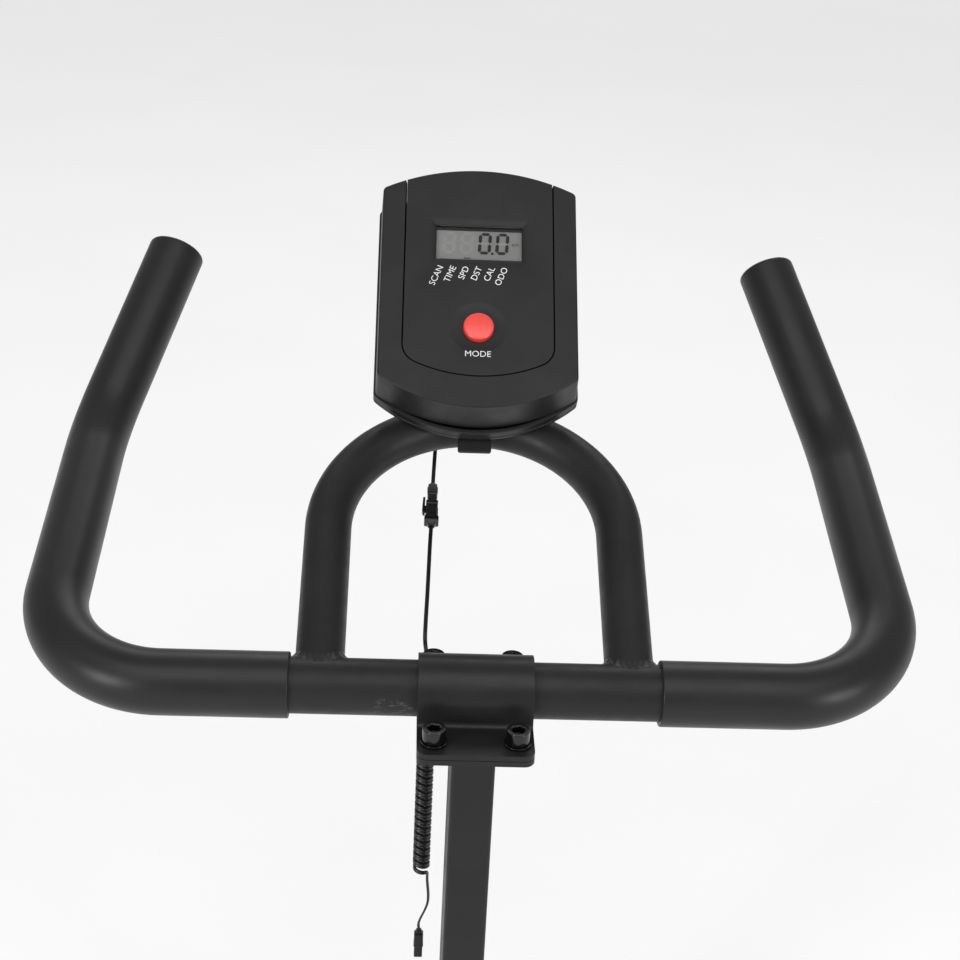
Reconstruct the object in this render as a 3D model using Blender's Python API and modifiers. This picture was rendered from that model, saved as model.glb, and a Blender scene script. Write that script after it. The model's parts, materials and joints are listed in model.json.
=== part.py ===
"""Exercise bike handlebar: bullhorn bar, console on its hoop, clamp and post.

Metres, +Z up, +Y forward (away from the rider), +X to the rider's right.
The origin is the centre of the post's foot.
"""
import math

import bmesh
import bpy
from mathutils import Matrix, Vector

# ---------------------------------------------------------------- dimensions
GAP = 0.0003                    # clearance between touching pieces

POST_WIDTH = 0.025
POST_DEPTH = 0.050
POST_WALL = 0.002
POST_LENGTH = 0.380
POST_HOLE_RADIUS = 0.0045
POST_HOLE_PITCH = 0.030
POST_HOLES = 6
POST_HOLE_START = 0.060

PLATE_THICKNESS = 0.0033
CLAMP_WIDTH = 0.065
CLAMP_DEPTH = 0.0966
CLAMP_CORNER = 0.006
CAP_RADIUS = 0.020
CAP_BORE = 0.0166
SADDLE_BORE = 0.01635
FLANGE_TOP_BELOW_BAR = 0.0119
FLANGE_THICKNESS = 0.0033
OUTER_BEND = 0.003              # where the cap's wall turns out into its flange
INNER_BEND = 0.0015
CUT_MARGIN = 0.001              # how far a cutter or a blank runs past what it cuts

BOLT_X = 0.0231
FRONT_BOLT_Y = 0.0363
REAR_BOLT_Y = 0.0404
BOLT_HEAD_RADIUS = 0.0065
BOLT_HEAD_HEIGHT = 0.008
BOLT_SHANK_RADIUS = 0.0038
BOLT_HOLE_RADIUS = 0.0043
TAPPED_HOLE_RADIUS = 0.0041
SOCKET_ACROSS_FLATS = 0.006
SOCKET_DEPTH = 0.004
WASHER_RADIUS = 0.0076
WASHER_THICKNESS = 0.0016

BAR_RADIUS = 0.016
BAR_WALL = 0.0018
BAR_SIDES_RESOLUTION = 6        # 16 sides round the tube
GRIP_RADIUS = 0.0188
GRIP_WALL = 0.0024
GRIP_START_X = 0.1045
ARM_CORNER = (0.2462, 0.0, 0.0)
ARM_KINK = (0.2420, 0.2130, 0.0562)
ARM_END = (0.2020, 0.3150, 0.1455)
CORNER_BEND_RADIUS = 0.068
KINK_BEND_RADIUS = 0.099

HOOP_TUBE_RADIUS = 0.0141
HOOP_WALL = 0.0018
HOOP_HALF_WIDTH = 0.0884
HOOP_LEG = 0.1145
HOOP_RISE = math.radians(23.0)

CONSOLE_TILT = math.radians(39.2)   # the face's slope above the horizontal
FACE_HEIGHT = 0.057             # face above the hoop's centreline, along its normal
PARTING_HEIGHT = 0.0284         # front shell meets the rear shell here
BACK_HEIGHT = 0.018
SHELL_WALL = 0.0022
EDGE_DROP = 0.0012              # height of the face's chamfer
EDGE_INSET = 0.0006
CAVITY_MARGIN = 0.010
REAR_CAVITY_INSET = 0.0034
FACE_HALF_WIDTH = 0.0612
PARTING_HALF_WIDTH = 0.0630
BACK_HALF_WIDTH = 0.0642
REAR_BOW = 0.0037               # how much further the rear shell's lower edge bows out
FACE_TOP = 0.1556
FACE_TOP_CORNER = 0.1410
FACE_BOTTOM = -0.0160
FACE_BOTTOM_CORNER = 0.0035
CORNER_ROUND = 0.004

PANEL_HALF_WIDTH = 0.0471
PANEL_BOTTOM = 0.0053
PANEL_BOTTOM_CORNER = 0.0150
PANEL_CORNER_ROUND = 0.014
SEAM = 0.0007
PANEL_THICKNESS = 0.0025
PANEL_TOP_WALL = 0.0022

LCD_CENTRE_Y = 0.1020
LCD_BEZEL = (0.0630, 0.0340)
LCD_WINDOW = (0.0550, 0.0250)
LENS_SIZE = (0.0600, 0.0300, 0.0012)
LCD_GLASS_SIZE = (0.0580, 0.0290, 0.0028)
BOARD_SIZE = (0.0860, 0.1120, 0.0016)
BOARD_CENTRE_Y = 0.0760
BUTTON_CENTRE_Y = 0.0390
BUTTON_RADIUS = 0.0093
BUTTON_FLANGE_RADIUS = 0.0110
BUTTON_TRAVEL = 0.0015
BUTTON_PROUD = 0.0034

DOOR_SIZE = (0.0640, 0.0500, 0.0018)
DOOR_HINGE_Y = 0.0620
CELL_RADIUS = 0.00725
CELL_LENGTH = 0.0505

TONGUE_WIDTH = 0.021
TONGUE_THICKNESS = 0.0025
TONGUE_BOTTOM = -0.0270
TONGUE_TOP = 0.0500
TONGUE_SCREWS_Y = (0.0220, 0.0400)

SCREW_RADIUS = 0.0013
SCREW_HOLE_RADIUS = 0.0018
SCREW_HEAD_RADIUS = 0.0028
SCREW_HEAD_HEIGHT = 0.0020
SHELL_SCREW_LENGTH = 0.0220
TONGUE_SCREW_LENGTH = 0.0090
BOSS_RADIUS = 0.0036
BOSS_BORE_RADIUS = 0.0017
BOSS_BOTTOM = 0.0225

LEAD_RADIUS = 0.0013
LEAD_JOINT_GAP = 0.0005         # the lead's end clears the socket when the bar tilts
LEAD_SPACING = 0.0065           # distance between the points of a lead's tube
CURLY_RADIUS = 0.0055
CURLY_X = -0.0255
CURLY_Y = 0.0550
CURLY_TOP_BELOW_BAR = 0.0330
CURLY_LENGTH = 0.1400

# Heights that follow from the stack of clamp parts on the post
PLATE_BOTTOM = POST_LENGTH + GAP
PLATE_TOP = PLATE_BOTTOM + PLATE_THICKNESS
FLANGE_BOTTOM = PLATE_TOP + GAP
FLANGE_TOP = FLANGE_BOTTOM + FLANGE_THICKNESS
BAR_HEIGHT = FLANGE_TOP + FLANGE_TOP_BELOW_BAR
BAR_AXIS = Vector((0.0, 0.0, BAR_HEIGHT))
BOLT_LENGTH = WASHER_THICKNESS + FLANGE_THICKNESS + PLATE_THICKNESS + 2 * GAP

# The lead's route, relative to the bar's axis: from the grommet under the
# console, below the hoop, and over the rear edge of the clamp plate
PIGTAIL_ROUTE = (
    (-0.0215, 0.2125, 0.1150),
    (-0.0220, 0.2170, 0.1050),
    (-0.0226, 0.2175, 0.0850),
    (-0.0232, 0.2090, 0.0610),
    (-0.0240, 0.1960, 0.0475),
    (-0.0247, 0.1800, 0.0400),
)
LEAD_ROUTE = (
    (-0.0256, 0.1395, 0.0295),
    (-0.0262, 0.1250, 0.0235),
    (-0.0272, 0.0920, 0.0105),
    (-0.0280, 0.0700, 0.0030),
    (-0.0282, 0.0590, -0.0040),
    (-0.0270, 0.0555, -0.0150),
    (-0.0258, 0.0550, -0.0250),
    (-0.0255, 0.0550, -0.0327),
)
TAIL_LENGTH = 0.045
TAIL_BOW = 0.003

COLORS = {
    "tube_paint": ((0.030, 0.030, 0.031), 0.45, 0.35),
    "clamp_paint": ((0.022, 0.022, 0.023), 0.40, 0.35),
    "grip_rubber": ((0.028, 0.028, 0.028), 0.75, 0.0),
    "console_plastic": ((0.036, 0.036, 0.038), 0.50, 0.0),
    "black_oxide_steel": ((0.015, 0.015, 0.016), 0.35, 0.8),
    "plug_plastic": ((0.018, 0.018, 0.018), 0.50, 0.0),
    "button_red": ((0.900, 0.090, 0.070), 0.35, 0.0),
    "clear_lens": ((0.300, 0.320, 0.300), 0.10, 0.0),
    "lcd_glass": ((0.210, 0.220, 0.210), 0.25, 0.0),
    "board_green": ((0.020, 0.160, 0.060), 0.45, 0.0),
    "cell_wrap": ((0.050, 0.120, 0.300), 0.40, 0.2),
    "contact_metal": ((0.600, 0.600, 0.580), 0.30, 1.0),
    "lead_pvc": ((0.012, 0.012, 0.012), 0.50, 0.0),
}

# ------------------------------------------------------------------- set-up
for old in list(bpy.data.objects):
    bpy.data.objects.remove(old, do_unlink=True)


def new_collection(name):
    collection = bpy.data.collections.new(name)
    bpy.context.scene.collection.children.link(collection)
    return collection


PARTS = new_collection("exercise_bike_handlebar")
CUTTERS = new_collection("cutters")


def make_material(name):
    color, roughness, metallic = COLORS[name]
    material = bpy.data.materials.new(name)
    material.use_nodes = True
    shader = material.node_tree.nodes["Principled BSDF"]
    shader.inputs["Base Color"].default_value = (*color, 1.0)
    shader.inputs["Roughness"].default_value = roughness
    shader.inputs["Metallic"].default_value = metallic
    return material


MATERIALS = {name: make_material(name) for name in COLORS}


# ------------------------------------------------------------ general helpers
def add_part(name, mesh, material, parent=None, location=(0.0, 0.0, 0.0)):
    """Link a mesh as a named part, smooth where its faces meet gently."""
    part = bpy.data.objects.new(name, mesh)
    mesh.materials.clear()
    mesh.materials.append(MATERIALS[material])
    mesh.shade_smooth()
    mesh.set_sharp_from_angle(angle=math.radians(35))
    part.location = location
    part.parent = parent
    PARTS.objects.link(part)
    return part


def add_cutter(name, mesh, parent=None, location=(0.0, 0.0, 0.0)):
    cutter = bpy.data.objects.new(name, mesh)
    cutter.location = location
    cutter.parent = parent
    cutter.hide_render = True
    cutter.display_type = "WIRE"
    CUTTERS.objects.link(cutter)
    return cutter


def combine(part, cutter, operation="DIFFERENCE"):
    modifier = part.modifiers.new(operation.lower(), "BOOLEAN")
    modifier.operation = operation
    modifier.object = cutter
    return part


def mesh_from_bmesh(name, bm):
    bmesh.ops.recalc_face_normals(bm, faces=bm.faces)
    mesh = bpy.data.meshes.new(name)
    bm.to_mesh(mesh)
    bm.free()
    return mesh


def box_mesh(name, size, centre=(0.0, 0.0, 0.0)):
    bm = bmesh.new()
    bmesh.ops.create_cube(bm, size=1.0)
    bmesh.ops.scale(bm, vec=size, verts=bm.verts)
    bmesh.ops.translate(bm, vec=centre, verts=bm.verts)
    return mesh_from_bmesh(name, bm)


def cylinder_mesh(name, radius, low, high, centre=(0.0, 0.0), sides=16, top_radius=None):
    """A cylinder or cone along Z from low to high."""
    bm = bmesh.new()
    end_radius = radius if top_radius is None else top_radius
    bmesh.ops.create_cone(bm, cap_ends=True, segments=sides, radius1=radius,
                          radius2=end_radius, depth=high - low)
    middle = (centre[0], centre[1], (low + high) / 2)
    bmesh.ops.translate(bm, vec=middle, verts=bm.verts)
    return mesh_from_bmesh(name, bm)


def curve_to_mesh(curve_object, name):
    """Turn a curve object into a mesh with its caps welded, and drop the curve."""
    bpy.context.view_layer.update()
    depsgraph = bpy.context.evaluated_depsgraph_get()
    mesh = bpy.data.meshes.new_from_object(curve_object.evaluated_get(depsgraph))
    mesh.name = name
    mesh.transform(curve_object.matrix_world)
    bm = bmesh.new()
    bm.from_mesh(mesh)
    bmesh.ops.remove_doubles(bm, verts=bm.verts, dist=0.00001)
    bmesh.ops.recalc_face_normals(bm, faces=bm.faces)
    bm.to_mesh(mesh)
    bm.free()
    bpy.data.objects.remove(curve_object, do_unlink=True)
    return mesh


def plate_mesh(name, outline, low, high, matrix=None):
    """A flat outline in XY, thickened from low to high, then placed by matrix."""
    curve = bpy.data.curves.new(name, "CURVE")
    curve.dimensions = "2D"
    curve.fill_mode = "BOTH"
    curve.extrude = (high - low) / 2
    spline = curve.splines.new("POLY")
    spline.points.add(len(outline) - 1)
    for point, (x, y) in zip(spline.points, outline):
        point.co = (x, y, 0.0, 1.0)
    spline.use_cyclic_u = True
    holder = bpy.data.objects.new(name, curve)
    holder.matrix_world = (matrix or Matrix()) @ Matrix.Translation((0, 0, (low + high) / 2))
    CUTTERS.objects.link(holder)
    return curve_to_mesh(holder, name)


def tube_mesh(name, points, radius, resolution=2, caps=True):
    curve = bpy.data.curves.new(name, "CURVE")
    curve.dimensions = "3D"
    curve.bevel_depth = radius
    curve.bevel_resolution = resolution
    curve.use_fill_caps = caps
    spline = curve.splines.new("POLY")
    spline.points.add(len(points) - 1)
    for point, place in zip(spline.points, points):
        point.co = (*place, 1.0)
    holder = bpy.data.objects.new(name, curve)
    CUTTERS.objects.link(holder)
    return curve_to_mesh(holder, name)


def hollow(part, thickness):
    modifier = part.modifiers.new("wall", "SOLIDIFY")
    modifier.thickness = thickness
    modifier.offset = -1.0
    modifier.use_even_offset = True
    return part


def turned(name, profile, steps, material, parent=None, location=(0.0, 0.0, 0.0)):
    """Spin a profile of (radius, height), top to bottom, about the local Z axis.

    A profile that doesn't reach the axis is closed into a ring's section.
    """
    mesh = bpy.data.meshes.new(name)
    vertices = [(radius, 0.0, height) for radius, height in profile]
    edges = [(index, index + 1) for index in range(len(profile) - 1)]
    if profile[0][0] > 0.0:
        edges.append((len(profile) - 1, 0))
    mesh.from_pydata(vertices, edges, [])
    part = add_part(name, mesh, material, parent, location)
    screw = part.modifiers.new("turn", "SCREW")
    screw.steps = steps
    screw.render_steps = steps
    screw.use_merge_vertices = True
    screw.merge_threshold = 0.00001
    return part


def arc(centre, radius, start, end, count):
    """Points on an arc in XY, angles in degrees, both ends included."""
    points = []
    for index in range(count + 1):
        angle = math.radians(start + (end - start) * index / count)
        points.append((centre[0] + radius * math.cos(angle),
                       centre[1] + radius * math.sin(angle)))
    return points


def rounded_rectangle(width, depth, radius, count=3):
    x, y = width / 2 - radius, depth / 2 - radius
    return (arc((x, y), radius, 0, 90, count) + arc((-x, y), radius, 90, 180, count)
            + arc((-x, -y), radius, 180, 270, count) + arc((x, -y), radius, 270, 360, count))


def fillet(before, corner, after, radius, count):
    """Points round a bend of the given radius at a corner between two runs."""
    to_before = (before - corner).normalized()
    to_after = (after - corner).normalized()
    half = to_before.angle(to_after) / 2
    start = corner + to_before * (radius / math.tan(half))
    finish = corner + to_after * (radius / math.tan(half))
    centre = corner + (to_before + to_after).normalized() * (radius / math.sin(half))
    first, last = start - centre, finish - centre
    sweep = first.angle(last)
    points = []
    for index in range(count + 1):
        share = index / count
        points.append(centre + (first * math.sin((1 - share) * sweep)
                                + last * math.sin(share * sweep)) / math.sin(sweep))
    return points


def smooth_route(route, spacing):
    """A Catmull-Rom curve through the route's points, resampled evenly."""
    knots = [Vector(point) for point in route]
    knots = [knots[0] * 2 - knots[1]] + knots + [knots[-1] * 2 - knots[-2]]
    fine = []
    for index in range(1, len(knots) - 2):
        a, b, c, d = knots[index - 1:index + 3]
        for step in range(16):
            t = step / 16
            fine.append(((b * 2) + (c - a) * t + (a * 2 - b * 5 + c * 4 - d) * t ** 2
                         + (b * 3 - a - c * 3 + d) * t ** 3) / 2)
    fine.append(knots[-2])
    total = sum((q - p).length for p, q in zip(fine, fine[1:]))
    count = max(2, round(total / spacing))
    points, walked, target = [fine[0]], 0.0, total / count
    for p, q in zip(fine, fine[1:]):
        length = (q - p).length
        while walked + length >= target - 1e-9 and len(points) < count:
            points.append(p.lerp(q, (target - walked) / length))
            target += total / count
        walked += length
    return points + [fine[-1]]


# ------------------------------------------------------------ post and clamp
def build_post():
    outline = rounded_rectangle(POST_WIDTH, POST_DEPTH, 0.0026)
    bore = rounded_rectangle(POST_WIDTH - 2 * POST_WALL, POST_DEPTH - 2 * POST_WALL, 0.0012)
    mesh = plate_mesh("handlebar_post", outline, 0.003 + GAP, POST_LENGTH)
    post = add_part("handlebar_post", mesh, "tube_paint")
    bore_mesh = plate_mesh("post_bore", bore, -0.010, POST_LENGTH + 0.010)
    combine(post, add_cutter("post_bore", bore_mesh))
    for index in range(POST_HOLES):
        height = POST_HOLE_START + index * POST_HOLE_PITCH
        hole = cylinder_mesh("post_hole", POST_HOLE_RADIUS, -0.010, 0.010, sides=12)
        cutter = add_cutter(f"post_hole_{index + 1}", hole, location=(0, -POST_DEPTH / 2, height))
        cutter.rotation_euler = (math.radians(90), 0, 0)
        combine(post, cutter)


def build_post_plug():
    """The plastic plug whose flat underside is the part's foot."""
    cap = rounded_rectangle(POST_WIDTH, POST_DEPTH, 0.0026)
    spigot = rounded_rectangle(POST_WIDTH - 2 * POST_WALL - 2 * GAP,
                               POST_DEPTH - 2 * POST_WALL - 2 * GAP, 0.0012)
    plug = add_part("post_end_plug", plate_mesh("post_end_plug", cap, 0.0, 0.003), "plug_plastic")
    neck = add_cutter("plug_spigot", plate_mesh("plug_spigot", spigot, 0.001, 0.018))
    combine(plug, neck, "UNION")
    inner = box_mesh("plug_hollow", (POST_WIDTH - 0.0092, POST_DEPTH - 0.0092, 0.020))
    combine(plug, add_cutter("plug_hollow", inner, location=(0, 0, 0.0130)))


def bolt_places():
    return {
        "front_left": (-BOLT_X, -FRONT_BOLT_Y),
        "front_right": (BOLT_X, -FRONT_BOLT_Y),
        "rear_left": (-BOLT_X, REAR_BOLT_Y),
        "rear_right": (BOLT_X, REAR_BOLT_Y),
    }


def drill_bolt_holes(part, radius, low, high, tag):
    for place, centre in bolt_places().items():
        hole = cylinder_mesh(f"{tag}_hole", radius, low, high, centre, sides=16)
        combine(part, add_cutter(f"{tag}_hole_{place}", hole))


def build_clamp_base():
    outline = rounded_rectangle(CLAMP_WIDTH, CLAMP_DEPTH, CLAMP_CORNER)
    mesh = plate_mesh("clamp_base", outline, PLATE_BOTTOM, PLATE_TOP)
    base = add_part("clamp_base", mesh, "clamp_paint")
    groove = cylinder_mesh("saddle_groove", SADDLE_BORE, -0.050, 0.050, sides=48)
    cutter = add_cutter("saddle_groove", groove, location=BAR_AXIS)
    cutter.rotation_euler = (0, math.radians(90), 0)
    combine(base, cutter)
    drill_bolt_holes(base, TAPPED_HOLE_RADIUS, PLATE_BOTTOM - CUT_MARGIN, PLATE_TOP + CUT_MARGIN,
                     "base")


def cap_profile():
    """The omega section in (Y, Z) relative to the bar: flange, wall, arch, and back."""
    top = -FLANGE_TOP_BELOW_BAR
    bottom = top - FLANGE_THICKNESS
    edge = CLAMP_DEPTH / 2 + CUT_MARGIN
    outer_bend = arc((CAP_RADIUS + OUTER_BEND, top + OUTER_BEND), OUTER_BEND, 270, 180, 3)
    arch = arc((0, 0), CAP_RADIUS, 0, 180, 18)
    inner = arc((0, 0), CAP_BORE, 180, 0, 18)
    inner_bend = arc((CAP_BORE + INNER_BEND, bottom + INNER_BEND), INNER_BEND, 180, 270, 2)
    points = [(edge, bottom), (edge, top)] + outer_bend + arch
    points += [(-y, z) for y, z in reversed(outer_bend)]
    points += [(-edge, top), (-edge, bottom)]
    points += [(-y, z) for y, z in reversed(inner_bend)]
    return points + inner + inner_bend


def build_clamp_cap():
    turn = Matrix.Translation(BAR_AXIS) @ Matrix(
        ((0, 0, 1, 0), (1, 0, 0, 0), (0, 1, 0, 0), (0, 0, 0, 1)))
    reach = CLAMP_WIDTH / 2 + CUT_MARGIN
    mesh = plate_mesh("clamp_cap", cap_profile(), -reach, reach, turn)
    cap = add_part("clamp_cap", mesh, "clamp_paint")
    plan = rounded_rectangle(CLAMP_WIDTH, CLAMP_DEPTH, CLAMP_CORNER)
    plan_mesh = plate_mesh("cap_plan", plan, PLATE_TOP - 0.01, BAR_HEIGHT + 0.03)
    combine(cap, add_cutter("cap_plan", plan_mesh), "INTERSECT")
    drill_bolt_holes(cap, BOLT_HOLE_RADIUS, FLANGE_BOTTOM - CUT_MARGIN, FLANGE_TOP + 0.01, "cap")


def hexagon(across_flats):
    return arc((0, 0), across_flats / math.sqrt(3), 0, 300, 5)


def build_fasteners():
    washer_bottom = FLANGE_TOP + GAP / 2
    head_bottom = washer_bottom + WASHER_THICKNESS + GAP / 2
    head_top = head_bottom + BOLT_HEAD_HEIGHT
    for place, (x, y) in bolt_places().items():
        bolt_profile = [
            (0.0, BOLT_HEAD_HEIGHT), (BOLT_HEAD_RADIUS - 0.0007, BOLT_HEAD_HEIGHT),
            (BOLT_HEAD_RADIUS, BOLT_HEAD_HEIGHT - 0.0007), (BOLT_HEAD_RADIUS, 0.0),
            (BOLT_SHANK_RADIUS, 0.0), (BOLT_SHANK_RADIUS, -BOLT_LENGTH), (0.0, -BOLT_LENGTH)]
        bolt = turned(f"clamp_bolt_{place}", bolt_profile, 16, "black_oxide_steel",
                      location=(x, y, head_bottom))
        socket = plate_mesh("hex_socket", hexagon(SOCKET_ACROSS_FLATS), 0.0, 0.010)
        combine(bolt, add_cutter(f"socket_{place}", socket,
                                 location=(x, y, head_top - SOCKET_DEPTH)))
        build_ring(f"washer_{place}", WASHER_RADIUS, BOLT_HOLE_RADIUS, WASHER_THICKNESS,
                   (x, y, washer_bottom))


def build_ring(name, outer, inner, height, location):
    profile = [(inner, height), (outer, height), (outer, 0.0), (inner, 0.0)]
    turned(name, profile, 16, "black_oxide_steel", location=location)


# ------------------------------------------------------------ bar and grips
def arm_points(side):
    """The bar's centreline from its middle out to the end of one arm."""
    def on_side(place):
        return BAR_AXIS + Vector((side * place[0], place[1], place[2]))

    corner, kink, end = on_side(ARM_CORNER), on_side(ARM_KINK), on_side(ARM_END)
    grip_start = on_side((GRIP_START_X, 0, 0))
    points = [grip_start]
    points += fillet(grip_start, corner, kink, CORNER_BEND_RADIUS, 9)
    points += fillet(corner, kink, end, KINK_BEND_RADIUS, 5)
    return points + [end]


def build_bar():
    right = arm_points(1)
    left = arm_points(-1)
    inset = 0.0030
    for points in (left, right):
        points[-1] = points[-1] + (points[-2] - points[-1]).normalized() * inset
    centreline = list(reversed(left)) + right
    mesh = tube_mesh("handlebar_tube", centreline, BAR_RADIUS, BAR_SIDES_RESOLUTION, caps=False)
    hollow(add_part("handlebar_tube", mesh, "tube_paint"), BAR_WALL)


def build_grips():
    """Foam sleeves over the arms, closed over the tube's ends."""
    for name, side in (("grip_left", -1), ("grip_right", 1)):
        points = arm_points(side)
        mesh = tube_mesh(name, points, GRIP_RADIUS, BAR_SIDES_RESOLUTION, caps=True)
        remove_cap(mesh, points[0], points[1] - points[0])
        hollow(add_part(name, mesh, "grip_rubber"), GRIP_WALL)


def remove_cap(mesh, place, direction):
    """Open a capped tube at one end by deleting the faces of that cap."""
    bm = bmesh.new()
    bm.from_mesh(mesh)
    along = direction.normalized()
    cap = [face for face in bm.faces
           if abs((face.calc_center_median() - place).dot(along)) < 0.0001]
    bmesh.ops.delete(bm, geom=cap, context="FACES")
    bm.to_mesh(mesh)
    bm.free()


def hoop_point(x, along):
    return BAR_AXIS + Vector((x, along * math.cos(HOOP_RISE), along * math.sin(HOOP_RISE)))


def build_hoop():
    crown = arc((0, HOOP_LEG), HOOP_HALF_WIDTH, 0, 180, 18)
    outline = [(HOOP_HALF_WIDTH, 0.004)] + crown + [(-HOOP_HALF_WIDTH, 0.004)]
    points = [hoop_point(x, along) for x, along in outline]
    mesh = tube_mesh("console_hoop", points, HOOP_TUBE_RADIUS, 5, caps=False)
    hoop = hollow(add_part("console_hoop", mesh, "tube_paint"), HOOP_WALL)
    saddle = cylinder_mesh("hoop_mouth", BAR_RADIUS + GAP, -0.150, 0.150, sides=32)
    cutter = add_cutter("hoop_mouth", saddle, location=BAR_AXIS)
    cutter.rotation_euler = (0, math.radians(90), 0)
    combine(hoop, cutter)


# ------------------------------------------------------------ console
CONSOLE = bpy.data.objects.new("console_frame", None)
CONSOLE.location = hoop_point(0, HOOP_LEG + HOOP_HALF_WIDTH)
CONSOLE.rotation_euler = (CONSOLE_TILT, 0, 0)
PARTS.objects.link(CONSOLE)


def sagitta_arc(half_chord, chord_y, rise, count):
    """An arc through (half_chord, chord_y) and (-half_chord, chord_y) that rises by rise."""
    radius = (half_chord ** 2 + rise ** 2) / (2 * abs(rise))
    centre_y = chord_y + rise - math.copysign(radius, rise)
    half_angle = math.degrees(math.asin(half_chord / radius))
    middle = math.copysign(90, rise)
    start = middle - math.copysign(half_angle, rise)
    return arc((0, centre_y), radius, start, 2 * middle - start, count)


def console_outline(half_width, grow=0.0, bow=0.0, count=10):
    """The console's outline: bowed top and bottom, straight sides, rounded corners."""
    cut = CORNER_ROUND * 0.45
    side = half_width + grow
    top = sagitta_arc(side - cut, FACE_TOP_CORNER + grow, FACE_TOP - FACE_TOP_CORNER, count)
    bottom = sagitta_arc(side - cut, FACE_BOTTOM_CORNER - grow,
                         FACE_BOTTOM - FACE_BOTTOM_CORNER - bow, count)
    right_low = (side, FACE_BOTTOM_CORNER - grow + CORNER_ROUND * 0.75)
    right_high = (side, FACE_TOP_CORNER + grow - CORNER_ROUND * 0.75)
    left_high = (-side, right_high[1])
    left_low = (-side, right_low[1])
    return [right_low, right_high] + top + [left_high, left_low] + list(reversed(bottom))


def loft_mesh(name, sections):
    """Close a solid through outlines of equal count, given as (outline, height)."""
    bm = bmesh.new()
    rings = []
    for outline, height in sections:
        rings.append([bm.verts.new((x, y, height)) for x, y in outline])
    for low, high in zip(rings, rings[1:]):
        count = len(low)
        for index in range(count):
            after = (index + 1) % count
            bm.faces.new((low[index], low[after], high[after], high[index]))
    bm.faces.new(rings[0])
    bm.faces.new(rings[-1])
    return mesh_from_bmesh(name, bm)


def panel_outline(half_width, grow):
    """The U-shaped insert: open past the top edge, bowed at the bottom."""
    side = half_width + grow
    low = PANEL_BOTTOM_CORNER + PANEL_CORNER_ROUND
    corner_x = side - PANEL_CORNER_ROUND * 0.42
    bow = sagitta_arc(corner_x, PANEL_BOTTOM_CORNER - grow, PANEL_BOTTOM - PANEL_BOTTOM_CORNER, 8)
    top = FACE_TOP + 0.02
    left_to_right = sorted(bow)
    easing = (side - 0.0015, PANEL_BOTTOM_CORNER + PANEL_CORNER_ROUND * 0.45)
    return ([(side, low), (side, top), (-side, top), (-side, low), (-easing[0], easing[1])]
            + left_to_right + [easing])


def shell_form(name, grow):
    """The console's outer form between parting line and face, grown or shrunk."""
    face = FACE_HEIGHT + (0 if grow >= 0 else -PANEL_THICKNESS)
    below = PARTING_HEIGHT - (0 if grow >= 0 else CAVITY_MARGIN)
    sections = [(console_outline(PARTING_HALF_WIDTH, grow), below),
                (console_outline(FACE_HALF_WIDTH + EDGE_INSET, grow), face - EDGE_DROP),
                (console_outline(FACE_HALF_WIDTH, grow - EDGE_INSET), face)]
    return loft_mesh(name, sections)


def build_front_shell():
    shell = add_part("front_shell", shell_form("front_shell", 0.0), "console_plastic", CONSOLE)
    inner = add_cutter("front_cavity", shell_form("front_cavity", -SHELL_WALL), CONSOLE)
    combine(shell, inner)
    opening = plate_mesh("panel_opening", panel_outline(PANEL_HALF_WIDTH, SEAM / 2),
                         0.0, FACE_HEIGHT + 0.01)
    combine(shell, add_cutter("panel_opening", opening, CONSOLE))
    for index, (x, y) in enumerate(screw_places()):
        boss = cylinder_mesh("boss", BOSS_RADIUS, BOSS_BOTTOM, FACE_HEIGHT - 0.001, (x, y), sides=12)
        combine(shell, add_cutter(f"boss_{index + 1}", boss, CONSOLE), "UNION")
        bore = cylinder_mesh("boss_bore", BOSS_BORE_RADIUS, 0.0100, 0.0440, (x, y), sides=10)
        combine(shell, add_cutter(f"boss_bore_{index + 1}", bore, CONSOLE))


def screw_places():
    return [(-0.0540, 0.0220), (0.0540, 0.0220), (-0.0540, 0.1260), (0.0540, 0.1260)]


def rectangle(width, height, centre_y):
    x = width / 2
    return [(x, centre_y - height / 2), (x, centre_y + height / 2),
            (-x, centre_y + height / 2), (-x, centre_y - height / 2)]


def build_insert_panel():
    panel = add_part("insert_panel", shell_form("insert_panel", 0.0), "console_plastic", CONSOLE)
    keep = plate_mesh("panel_keep", panel_outline(PANEL_HALF_WIDTH, -SEAM / 2),
                      0.0, FACE_HEIGHT + 0.01)
    combine(panel, add_cutter("panel_keep", keep, CONSOLE), "INTERSECT")
    inner = add_cutter("panel_cavity", shell_form("panel_cavity", -PANEL_TOP_WALL), CONSOLE)
    combine(panel, inner)
    bezel = loft_mesh("lcd_bezel", [
        (rectangle(*LCD_WINDOW, LCD_CENTRE_Y), FACE_HEIGHT - PANEL_THICKNESS - 0.001),
        (rectangle(*LCD_WINDOW, LCD_CENTRE_Y), FACE_HEIGHT - PANEL_THICKNESS + 0.0005),
        (rectangle(*LCD_BEZEL, LCD_CENTRE_Y), FACE_HEIGHT),
        (rectangle(*LCD_BEZEL, LCD_CENTRE_Y), FACE_HEIGHT + 0.001)])
    combine(panel, add_cutter("lcd_bezel", bezel, CONSOLE))
    hole = cylinder_mesh("button_hole", BUTTON_RADIUS + 0.0004, 0.050, 0.065,
                         (0, BUTTON_CENTRE_Y), sides=32)
    combine(panel, add_cutter("button_hole", hole, CONSOLE))


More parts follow.
